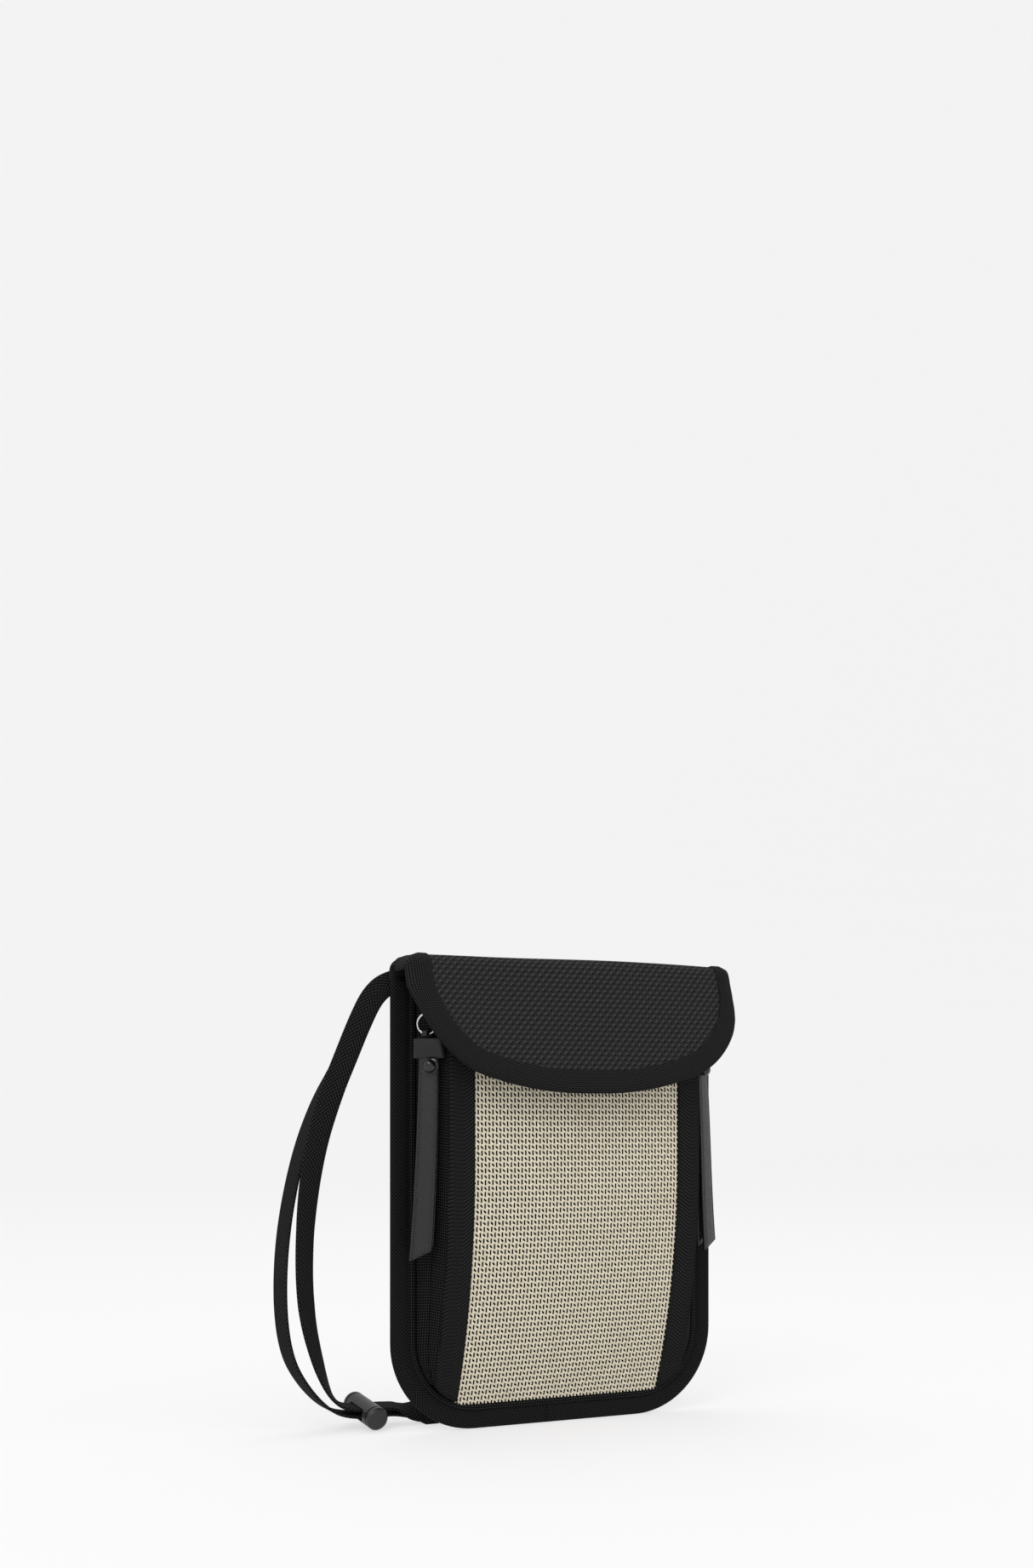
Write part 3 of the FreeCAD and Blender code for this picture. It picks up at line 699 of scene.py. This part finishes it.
def make_edge_binding():
    section = binding_section(BINDING_W, SEAM_DEPTH, 0.0, 1.4)
    rings = []
    for x, z, nx, nz in outline_path(190.4):
        ripple = 0.06 * math.sin(z * 0.9 + x * 0.7)
        ring = []
        for inward, depth in section:
            ring.append((x + nx * inward, BACK_Y - depth - ripple * (depth > 3.2), z + nz * inward))
        rings.append(ring)
    obj = sweep("edge_binding_tape", rings, BINDING, section)
    finish(obj, "pouch", "binding_tape", "edge_binding")
    overlap_fold()


def overlap_fold():
    """Where the binding's two ends lap, under the middle of the pouch."""
    section = binding_section(BINDING_W + 0.1, 3.75, -0.15, 1.6)
    middle = 1.8
    rings = []
    for x, shrink in ((-6.0, 0.6), (-5.7, 1.0), (-4.0, 1.0), (-2.0, 1.0), (-1.9, 0.6)):
        rings.append([(x, BACK_Y - middle - (depth - middle) * shrink, max(inward * shrink, 0.02))
                      for inward, depth in section])
    obj = sweep("binding_lap", rings, BINDING, section)
    finish(obj, "pouch", "binding_tape")


def make_seam_strip():
    """The strip of tape that covers the seam between the binding and the gussets."""
    section = [(7.6, 3.0), (7.9, 3.7), (9.2, 3.95), (10.6, 3.8), (10.9, 3.2), (10.6, 2.3), (7.7, 2.3)]
    rings = [[(x + nx * inward, BACK_Y - depth, z + nz * inward) for inward, depth in section]
             for x, z, nx, nz in outline_path(GUSSET_TOP)]
    obj = sweep("seam_tape", rings, ZIP_TAPE, section)
    finish(obj, "pouch", "body_fabric", "seam_strip")


def rounded_panel(inset, top, depth, bulge):
    """A grid that fills the pouch's outline, at a depth and with a swell towards the front in its middle."""
    def point(rise, f):
        z = inset + (top - inset) * rise
        swell = bulge * (1 - f ** 4) * math.sin(math.pi * rise) ** 0.5
        return (half_width(z, inset) * f, BACK_Y - depth - swell, z)

    return grid_of(point, np.linspace(0, 1, 41) ** 1.3, np.linspace(-1, 1, 29))


def make_back():
    back = sheet_solid("back_cloth", rounded_panel(7.9, 189.5, 0.4, -0.5), 0.9, BODY_CLOTH)
    finish(back, "pouch", "body_fabric", "back_panel")
    lining = sheet_solid("back_inner_cloth", rounded_panel(8.0, 189.8, 1.45, 0.0), 0.6, LINING)
    finish(lining, "pouch", "lining", "back_lining")


# ---- bulging front ----
def front_depth(z):
    """The front panel's depth at its sides: plumb above the bend, curving back below it."""
    if z >= FRONT_TOP_BEND:
        return FRONT_DEPTH
    drop = FRONT_TOP_BEND - z
    return FRONT_DEPTH - FRONT_BEND_R + math.sqrt(FRONT_BEND_R ** 2 - drop ** 2)


def crown(x, z):
    """The swell of the front panel, none at its sides and foot."""
    side = 1 - min(abs(x) / TAPE_HALF, 1.0) ** 2
    rise = min(max((z - 12) / 60, 0.0), 1.0)
    return CROWN * side * rise * (2 - rise)


def front_point(x, z, lift):
    """A point on the front panel, lifted off it."""
    slope = min(max(FRONT_TOP_BEND - z, 0) / FRONT_BEND_R, 1)
    depth = front_depth(z) + crown(x, z) + lift * math.sqrt(1 - slope * slope)
    return (x, BACK_Y - depth, z - lift * slope)


def foot_z(x, inset):
    """The lower end of the front at an X, on the outline's rounded corner."""
    if abs(x) <= CORNER_X:
        return inset
    return CORNER_R - math.sqrt(max((CORNER_R - inset) ** 2 - (abs(x) - CORNER_X) ** 2, 0.0))


COLUMN = 1.62
ROW = 2.42

# Half of the ring of points round a cell's border and round each kind of hole, in cells; the other
# half is its mirror through the cell's middle.
BORDER = [(-0.5, -0.5), (0, -0.5), (0.5, -0.5), (0.5, 0)]
SLOT = [(-0.19, -0.40), (0.02, -0.44), (0.23, -0.40), (0.21, 0)]
DOT = [(-0.12, -0.15), (0.12, -0.29), (0.36, -0.27), (0.40, -0.04)]


def whole_ring(half):
    return half + [(-x, -z) for x, z in half]


def make_woven_front():
    """Open weave: cells of cream yarn, in turn round a tall slot and round a small slanting hole."""
    border = whole_ring(BORDER)
    holes = [whole_ring(SLOT), whole_ring(DOT)]
    columns = int(2 * MESH_HALF / COLUMN)
    width = 2 * MESH_HALF / columns
    verts = []
    flat = []
    shared = {}
    faces = []

    def vertex(x, z, lift):
        verts.append(front_point(x, z, lift))
        flat.append((z, x))
        return len(verts) - 1

    def corner(i, j, bx, bz):
        """A point on a cell's border, which the cells beside it share."""
        key = (round(2 * (i + bx)), round(2 * (j + bz)))
        if key not in shared:
            lift = 0.32 if bz == 0 else 0.12
            x = -MESH_HALF + (i + 0.5 + bx) * width
            shared[key] = vertex(x, (j + 0.5 + bz) * ROW, lift)
        return shared[key]

    for i in range(columns):
        cx = -MESH_HALF + (i + 0.5) * width
        low = foot_z(cx, 11.0) - 0.4
        for j in range(int(low / ROW), int(FRONT_PANEL_TOP / ROW)):
            cz = (j + 0.5) * ROW
            outer = [corner(i, j, bx, bz) for bx, bz in border]
            crest = []
            rim = []
            for k, ((bx, bz), (hx, hz)) in enumerate(zip(border, holes[(i + j) % 2])):
                mx = bx * 0.45 + hx * 0.55
                mz = bz * 0.45 + hz * 0.55
                crest.append(vertex(cx + mx * width, cz + mz * ROW, 0.34 if k % 2 else 0.26))
                rim.append(vertex(cx + hx * width, cz + hz * ROW, -0.02))
            for k in range(8):
                m = (k + 1) % 8
                faces.append((outer[k], outer[m], crest[m], crest[k]))
                faces.append((crest[k], crest[m], rim[m], rim[k]))
    uvs = [flat[v] for f in faces for v in f]
    obj = add_mesh("woven_front", verts, faces, uvs, STRAW)
    finish(obj, "pouch", "woven_straw", "front_mesh_panel")


def front_strip(name, x0, x1, lift, thickness, material, columns=8):
    """A strip of the front between two X values, from its foot to its top."""
    def point(f, x):
        foot = foot_z(x, SEAM_IN)
        return front_point(x, foot + (FRONT_PANEL_TOP - foot) * f, lift)

    grid = grid_of(point, np.linspace(0, 1, 61), np.linspace(x1, x0, columns + 1))
    return sheet_solid(name, grid, thickness, material)


def make_front():
    make_woven_front()
    obj = front_strip("woven_backing", 1 - TAPE_HALF, TAPE_HALF - 1, -0.08, 0.5, DARK_BACKING, columns=30)
    finish(obj, "pouch", "lining", "front_lining")
    for side, sign in SIDES:
        x0, x1 = sorted((sign * (MESH_HALF - 0.8), sign * (TAPE_HALF + 0.3)))
        obj = front_strip("twill_tape_" + side, x0, x1, 0.75, 1.1, FRONT_TAPE)
        finish(obj, "pouch", "front_tape", "front_tape_" + side)


# ---- gussets and zippers ----
def gusset_point(sign, t, z, lift):
    """A point of a gusset at a height: t runs from 0 at the front panel to 1 at the seam by the rim."""
    front = Vector((TAPE_HALF, BACK_Y - front_depth(z), z))
    rim = Vector((half_width(z, SEAM_IN) - 0.1, BACK_Y - SEAM_DEPTH, z))
    run = rim - front
    out = Vector((run.y, -run.x, 0)).normalized()
    p = front + run * t + out * lift
    return (p.x * sign, p.y, p.z)


def make_zip_cloth(side, sign, half, t0, t1, seam):
    """One half of a zipper's tape; it swells between the coil and its seam, which is at t0 or at t1."""
    def point(z, t):
        swell = 0.45 * math.sin(math.pi * min(abs(t - seam) / (t1 - t0) * 1.1, 1)) ** 0.7
        return gusset_point(sign, t, z, 0.12 + swell)

    grid = grid_of(point, np.linspace(GUSSET_FOOT - 2.5, GUSSET_TOP, 71), np.linspace(t0, t1, 9)[::-sign])
    obj = sheet_solid("zip_cloth_%s_%s" % (half, side), grid, 0.8, ZIP_TAPE)
    finish(obj, "pouch", "zip_tape", "zip_tape_%s_%s" % (half, side))


def make_gusset(side, sign):
    make_zip_cloth(side, sign, "inner", 0.02, 0.492, 0.02)
    make_zip_cloth(side, sign, "outer", 0.508, 0.99, 0.99)


# ---- flap ----
FLAP_LEAN = math.atan2(FLAP_DEPTH - FLAP_FRONT_TOP, HEIGHT - FLAP_CORNER_R - FLAP_LOW)
BACK_RISE = HEIGHT - FLAP_CORNER_R - FLAP_FOOT_Z
BACK_ARC = FLAP_CORNER_R * math.pi / 2
TOP_RUN = FLAP_FRONT_TOP - 2 * FLAP_CORNER_R
FRONT_ARC = FLAP_CORNER_R * (math.pi / 2 - FLAP_LEAN)


def flap_frame(s):
    """The flap's side profile at a distance s along its outer face: depth, height and outward normal."""
    r = FLAP_CORNER_R
    c = HEIGHT - r
    if s < BACK_RISE:
        return 0.0, FLAP_FOOT_Z + s, -1.0, 0.0
    s -= BACK_RISE
    if s < BACK_ARC:
        a = s / r
        return r - r * math.cos(a), c + r * math.sin(a), -math.cos(a), math.sin(a)
    s -= BACK_ARC
    if s < TOP_RUN:
        return r + s, HEIGHT, 0.0, 1.0
    s -= TOP_RUN
    front = FLAP_FRONT_TOP - r
    if s < FRONT_ARC:
        a = s / r
        return front + r * math.sin(a), c + r * math.cos(a), math.sin(a), math.cos(a)
    s -= FRONT_ARC
    nd = math.cos(FLAP_LEAN)
    nz = math.sin(FLAP_LEAN)
    return front + r * nd + s * nz, c + r * nz - s * nd, nd, nz


FRONT_START = BACK_RISE + BACK_ARC + TOP_RUN + FRONT_ARC
FRONT_START_Z = HEIGHT - FLAP_CORNER_R + FLAP_CORNER_R * math.sin(FLAP_LEAN)
TOP_MIDDLE = BACK_RISE + BACK_ARC + TOP_RUN / 2
FLAP_ROUND_X = 71.3        # where the flap starts to round over at each side, and the round's radius
FLAP_ROUND_R = 5.6


def flap_point(x, s, lift):
    """A point of the flap, lifted off its outer face."""
    depth, z, nd, nz = flap_frame(s)
    out = lift + flap_puff(x, s)
    return (x, BACK_Y - depth - nd * out, z + nz * out)


def flap_puff(x, s):
    """How the flap cloth leaves its plain profile, growing from its sewn foot.

    It waves and has a dimple on the left, sags on top and rounds over towards both sides.
    """
    ramp = min(max((s - 1) / 12, 0.0), 1.0)
    ramp = ramp * ramp * (3 - 2 * ramp)
    over = min(max(abs(x) - FLAP_ROUND_X, 0), FLAP_ROUND_R - 0.2)
    rounding = FLAP_ROUND_R - math.sqrt(FLAP_ROUND_R ** 2 - over ** 2)
    side = rounding + 0.6 * (max(abs(x) - 45, 0) / 32) ** 2
    wave = 0.30 * math.sin(x * 0.055 + 0.6) * math.sin((s - 8) * 0.075)
    dimple = 0.9 * math.exp(-((x + 38) / 14) ** 2 - ((s - 50) / 9) ** 2)
    sag = 1.1 * math.exp(-((s - TOP_MIDDLE) / 13) ** 2)
    return ramp * (wave - dimple - side - sag)


def z_to_s(z):
    """The distance along the flap at which its front part comes down to a height."""
    return FRONT_START + (FRONT_START_Z - z) / math.cos(FLAP_LEAN)


def arc_points(a, b, c, count):
    """Points along the arc from a through b to c, both ends in."""
    a, b, c = [complex(*p) for p in (a, b, c)]
    w = (c - a) / (b - a)
    centre = (b - a) * (w - abs(w) ** 2) / (w - w.conjugate()) + a
    turn = cmath.phase((c - centre) / (a - centre)) % (2 * math.pi)
    if cmath.phase((b - centre) / (a - centre)) % (2 * math.pi) > turn:
        turn -= 2 * math.pi
    points = [centre + (a - centre) * cmath.exp(1j * turn * k / count) for k in range(count + 1)]
    return [(p.real, p.imag) for p in points]


def flap_half_edge(sign, knee_x):
    """One half of the flap's edge in its own flat plane (x, s), from the back foot to the low middle."""
    side_low = (HALF_WIDTH, z_to_s(187))
    knee = (54.0, z_to_s(151.5))
    lower = arc_points(side_low, (knee_x, z_to_s(166)), knee, 26)
    bottom = arc_points(knee, (28.0, z_to_s(144.4)), (0.0, z_to_s(FLAP_LOW)), 22)
    half = [(HALF_WIDTH, s) for s in np.linspace(-1.5, side_low[1], 40)[:-1]] + lower[:-1] + bottom
    return [(sign * x, s) for x, s in half]


def flap_edge():
    """The smoothed edge round the flap from the back left foot, and each point's direction into the flap.

    The left corner is cut rounder than the right one.
    """
    edge = flap_half_edge(-1, 68.3)[:-1] + flap_half_edge(1, 70.5)[::-1]
    fine = resample(np.array(edge), 380)
    for _ in range(16):
        fine[1:-1] = (fine[:-2] + 2 * fine[1:-1] + fine[2:]) / 4
    tangent = unit_steps(fine)
    inward = np.stack([tangent[:, 1], -tangent[:, 0]], axis=1)
    return fine, inward


def resample(points, count):
    """A count of points at even distances along a line of points."""
    at = lengths(points)
    target = np.linspace(0, at[-1], count)
    return np.stack([np.interp(target, at, points[:, k]) for k in range(points.shape[1])], axis=1)


def make_flap():
    fine, inward = flap_edge()
    make_flap_binding(fine, inward)
    make_flap_cloth(fine, inward)


def make_flap_binding(fine, inward):
    """The tape folded over the flap's edge; its section is (reach into the flap, lift off its outer face)."""
    width = FLAP_BINDING_W
    section = [(width, 0.0), (width, 0.3), (width - 0.5, 0.55), (width * 0.6, 0.65), (width * 0.25, 0.6),
               (0.6, 0.4), (0.05, -0.3), (0.0, -1.2), (0.15, -2.1), (0.8, -2.75), (width * 0.5, -2.9),
               (width - 0.4, -2.8), (width, -2.4)]
    rings = []
    for k, ((x, s), (dx, ds)) in enumerate(zip(fine, inward)):
        ripple = 0.08 * math.sin(k * 0.52) * math.sin(k * 0.13)
        ring = []
        for reach, lift in section:
            at = max(s + ds * reach, -2.0)
            ring.append(flap_point(x + dx * reach, at, lift + (ripple if lift > 0 else 0)))
        rings.append(ring)
    obj = sweep("flap_edge_tape", rings, FLAP_TAPE, section)
    finish(obj, "flap", "binding_tape", "flap_binding")


def flap_grid(fine, inward, reach, lift, first):
    """Rows of points over the flap inside its edge, from the back foot to the front's low point."""
    inner = fine + inward * reach
    right = inner[inner[:, 0] > 0]
    right = right[np.argsort(right[:, 1])]
    grid = []
    for s in np.linspace(first, inner[:, 1].max() - 0.3, 47):
        half = np.interp(max(s, 0.5), right[:, 1], right[:, 0])
        grid.append([flap_point(x, s, lift) for x in np.linspace(-half, half, 61)])
    return grid


def make_flap_cloth(fine, inward):
    """The flap's cloth and lining inside the binding; the lining goes with the flap, and the cloth, which
    reaches a little below the flap's foot, is baked in place.
    """
    grid = np.array(flap_grid(fine, inward, FLAP_BINDING_W - 1.5, 0.0, -4.5))
    down = np.repeat(np.linspace(0, 84, grid.shape[0])[:, None], grid.shape[1], axis=1)
    cloth = sheet_solid("flap_cloth", grid, 1.2, FLAP_CLOTH, flat=(down, grid[:, :, 0]))
    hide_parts("flap_panel")
    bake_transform(cloth)
    grid = flap_grid(fine, inward, FLAP_BINDING_W - 1.0, -1.7, 1.0)
    lining = sheet_solid("flap_inner_cloth", grid, 0.5, LINING)
    finish(lining, "flap", "lining", "flap_lining")


# ---- pulls ----
GUSSET_MID = (GUSSET_RIM_X + TAPE_HALF) / 2
GUSSET_MID_DEPTH = (FRONT_DEPTH + SEAM_DEPTH) / 2
GUSSET_TURN = math.atan2(FRONT_DEPTH - SEAM_DEPTH, GUSSET_RIM_X - TAPE_HALF)
PULL_OUT = 2.95            # how far the pull stands off the gusset
RING_Z = 170.7
RING_R = 4.3
RING_WIRE_R = 0.55
LEATHER_TOP = 164.2
LEATHER_LOW = 73.0
LEATHER_T = 1.15
STUD_Z = 153.2
STUD_ACROSS = -1.2
STUD_R = 2.8

# How each side's pull hangs: its turn about the vertical, which stands the rim edge off the gusset; the
# leather's shift across and outwards, and its lean outwards per millimetre down; the outer layer's splay.
HANG = {
    -1: {"turn": math.radians(28), "across": -2.8, "out": 1.5, "lean": 0.0, "splay": 0.9},
    1: {"turn": math.radians(40), "across": 0.0, "out": -0.3, "lean": 0.008, "splay": 2.0},
}


def hung_point(sign, across, out, z, shift=0.0, off=0.0):
    """A point beside the zipper, on the hanging pull's turned axes.

    across runs towards the pouch's rim and out away from the gusset; shift and off move the turned point.
    """
    turn = HANG[sign]["turn"]
    a = across * math.cos(turn) - out * math.sin(turn) + shift
    n = across * math.sin(turn) + out * math.cos(turn) + PULL_OUT + off
    x = GUSSET_MID + a * math.cos(GUSSET_TURN) + n * math.sin(GUSSET_TURN)
    y = BACK_Y - GUSSET_MID_DEPTH + a * math.sin(GUSSET_TURN) - n * math.cos(GUSSET_TURN)
    return (sign * x, y, z)


def leather_point(sign, across, out, z):
    """A point on the leather part of a pull, with its shift and its lean."""
    hang = HANG[sign]
    return hung_point(sign, across, out, z, hang["across"], hang["out"] + hang["lean"] * (LEATHER_TOP - z))


def full_turn(count):
    """Angles spread evenly round a circle."""
    return np.linspace(0, 2 * math.pi, count, endpoint=False)


def leather_section(half, outer, inner):
    """A strip's section: a pressed line inside each edge of its outer face."""
    pressed = outer - 0.35 if outer > inner else outer + 0.35
    left = [(-half, inner), (-half, (outer + pressed) / 2)]
    for place, level in ((0.95, outer), (0.86, outer), (0.81, pressed), (0.76, outer), (0.3, outer)):
        left.append((-half * place, level))
    return left + [(-x, level) for x, level in left[::-1]]


def make_leather(side, sign, layer):
    """One of a pull's two layers; it leans, bends a little away from the other and ends on a slant."""
    front = layer == "front"
    near = 0.1 if front else -0.1
    far = near + LEATHER_T * (1 if front else -1)
    low = LEATHER_LOW if front else LEATHER_LOW + 1.8
    rings = []
    for f in np.linspace(0, 1, 37):
        half = 3.9 + 0.85 * f
        lean = 3.4 * f * f
        splay = (HANG[sign]["splay"] if front else 0.0) * f ** 0.8 + 0.3 * math.sin(f * 5.0)
        ring = []
        for across, out in leather_section(half, far, near):
            foot = low + 4.5 * (half + sign * across) / (2 * half)
            z = LEATHER_TOP + (foot - LEATHER_TOP) * f
            ring.append(leather_point(sign, across + lean, out + splay, z))
        rings.append(ring)
    obj = sweep("leather_%s_%s" % (layer, side), rings, LEATHER, rings[0])
    finish(obj, "leather_" + side, "leather", "pull_leather_%s_%s" % (layer, side))


def make_collar(side, sign):
    """The leather band round both layers under the ring, with rounded ends."""
    half = 6.9
    thick = 1.95
    section = []
    for centre, start in ((half - thick, -90), (thick - half, 90)):
        for a in np.radians(np.arange(start, start + 181, 30)):
            section.append((centre + thick * math.cos(a), thick * math.sin(a)))
    rings = []
    for z, grow in ((156.3, -0.5), (156.5, -0.1), (157.0, 0.1), (161.0, 0.0),
                    (163.9, 0.1), (164.4, -0.1), (164.6, -0.5)):
        wider = 1 + grow / half
        thicker = 1 + grow / thick
        rings.append([leather_point(sign, a * wider, n * thicker, z) for a, n in section])
    obj = sweep("leather_band_" + side, rings, BAND_LEATHER, section)
    finish(obj, "leather_" + side, "leather", "pull_collar_" + side)


def make_stud(side, sign):
    """A glossy ball on a low collar, turned about the leather's outward direction."""
    profile = [(0.9, 0.0), (3.1, 0.0), (3.3, 0.2), (3.1, 0.4), (1.5, 0.4), (1.4, 0.5)]
    for a in np.radians(np.linspace(-55, 85, 11)):
        profile.append((STUD_R * math.cos(a), 2.1 + 2.5 * math.sin(a)))
    rings = []
    for r, out in profile:
        ring = []
        for a in full_turn(28):
            across = STUD_ACROSS + r * math.cos(a)
            ring.append(leather_point(sign, across, 1.2 + out, STUD_Z + r * math.sin(a)))
        rings.append(ring)
    obj = sweep("stud_ball_" + side, rings, STUD, rings[1])
    finish(obj, "leather_" + side, "stud_gloss", "pull_stud_" + side)


def make_ring(side, sign):
    """The wire ring; it hangs turned with the leather, on the link above and through the loop below."""
    rings = []
    for a in full_turn(40):
        ring = []
        for b in full_turn(10):
            r = RING_R + RING_WIRE_R * math.cos(b)
            out = RING_WIRE_R * math.sin(b)
            ring.append(hung_point(sign, r * math.sin(a), out, RING_Z + r * math.cos(a)))
        rings.append(ring)
    obj = sweep("wire_ring_" + side, rings, CHROME, rings[0], closed_path=True)
    finish(obj, "pull_" + side, "chrome", "pull_ring_" + side)


def make_pull(side, sign):
    make_ring(side, sign)
    make_stud(side, sign)
    make_leather(side, sign, "front")
    make_leather(side, sign, "back")
    make_collar(side, sign)


# ---- small cloth parts ----
def make_anchor(side, sign):
    """The strap's sewn end: a folded patch of webbing on a top back corner."""
    low, high = 180.4, 190.2
    near, far = 64.5, 75.2

    def point(z, x):
        edge = min(z - low, high - z, x - near, far - x)
        return (sign * x, BACK_Y + 1.9 - 0.5 * max(1 - edge / 1.5, 0), z)

    grid = grid_of(point, np.linspace(low, high, 9), np.linspace(near, far, 9))
    obj = sheet_solid("strap_patch_" + side, grid, 1.7, WEBBING)
    finish(obj, "pouch", "strap_webbing", "strap_anchor_" + side)


def make_zip_end(side, sign):
    """The small bar of stitches across a zipper's foot."""
    middle = GUSSET_FOOT + 1.6

    def point(z, f):
        fall = max(abs(f) - 0.6, 0) + max(abs(z - middle) - 0.6, 0)
        return gusset_point(sign, 0.5 + 0.11 * f, z, 1.25 - 0.9 * fall + 0.08 * math.sin(f * 16))

    grid = grid_of(point, np.linspace(middle - 1.1, middle + 1.1, 9), np.linspace(-1, 1, 15))
    obj = sheet_solid("zip_end_" + side, grid, 0.4, ZIP_TAPE)
    finish(obj, "pouch", "zip_tape", "zip_bottom_stop_" + side)


def flat_cloth(name, half, low, high, depth, material, node):
    """A loose panel inside the pouch, with a turned hem along its top."""
    def point(z, x):
        wave = 0.12 * math.sin(x * 0.11) * math.sin(z * 0.07)
        hem = 0.25 if z > high - 8 else 0.0
        return (x, BACK_Y - depth - wave - hem, z)

    grid = grid_of(point, np.linspace(low, high, 40), np.linspace(-half, half, 40))
    obj = sheet_solid(name, grid, 0.6, material)
    finish(obj, "pouch", "lining", node)


def make_inside():
    """The divider and the card pocket."""
    flat_cloth("divider_cloth", 64, 40, 160, 2.9, LINING, "divider_panel")
    flat_cloth("card_pocket_cloth", 45, 46, 120, 3.6, BODY_CLOTH, "card_pocket")


def make_front_top():
    """The tape folded over the front panel's top edge; its section is (distance out, height)."""
    section = [(-2.0, 165.2), (-2.0, 171.2), (-1.6, 171.9), (-0.6, 172.1), (0.5, 171.8), (0.8, 171.0),
               (0.9, 168.0), (0.8, 165.2), (0.1, 165.0), (0.0, 166.0), (-1.2, 166.0), (-1.3, 165.0)]
    rings = []
    for x in np.linspace(1 - TAPE_HALF, TAPE_HALF - 1, 60):
        swell = crown(x, FRONT_PANEL_TOP)
        rings.append([(x, BACK_Y - FRONT_DEPTH - swell - out, z) for out, z in section])
    obj = sweep("front_top_tape", rings, BINDING, section)
    finish(obj, "pouch", "binding_tape", "front_top_binding")


# ---- carried-over parts ----
NODE_MATERIALS = {
    "magnet_keeper": (SLIDER_METAL, "magnet_cover"),
    "flap_magnet": (SLIDER_METAL, "magnet_cover"),
    "zip_coil": (ZIP_TAPE, "zip_coil"),
    "slider_": (SLIDER_METAL, "slider_metal"),
    "pull_link": (CHROME, "chrome"),
    "pull_loop": (LEATHER, "leather"),
    "hank_tie": (WEBBING, "strap_webbing"),
    "toggle_": (GUNMETAL, "toggle_metal"),
}


def dress_nodes():
    """Give every CAD node that still shows its material."""
    for name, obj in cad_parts.items():
        for prefix, (material, slot) in NODE_MATERIALS.items():
            if name.startswith(prefix):
                obj.data.materials.clear()
                obj.data.materials.append(material)


make_camera()
strap, strap_line = make_strap()
finish(strap, "pouch", "strap_webbing", "strap_front", "strap_rear", "strap_link_upper",
       "strap_link_lower", "strap_pass_upper", "strap_pass_lower", "strap_hank")
strap_length = float(lengths(strap_line)[-1] * MM)
make_studio()
make_floor()
make_edge_binding()
make_seam_strip()
make_back()
make_front()
for side, sign in SIDES:
    make_gusset(side, sign)
make_flap()
for make in (make_pull, make_anchor, make_zip_end):
    for side, sign in SIDES:
        make(side, sign)
make_inside()
make_front_top()
dress_nodes()
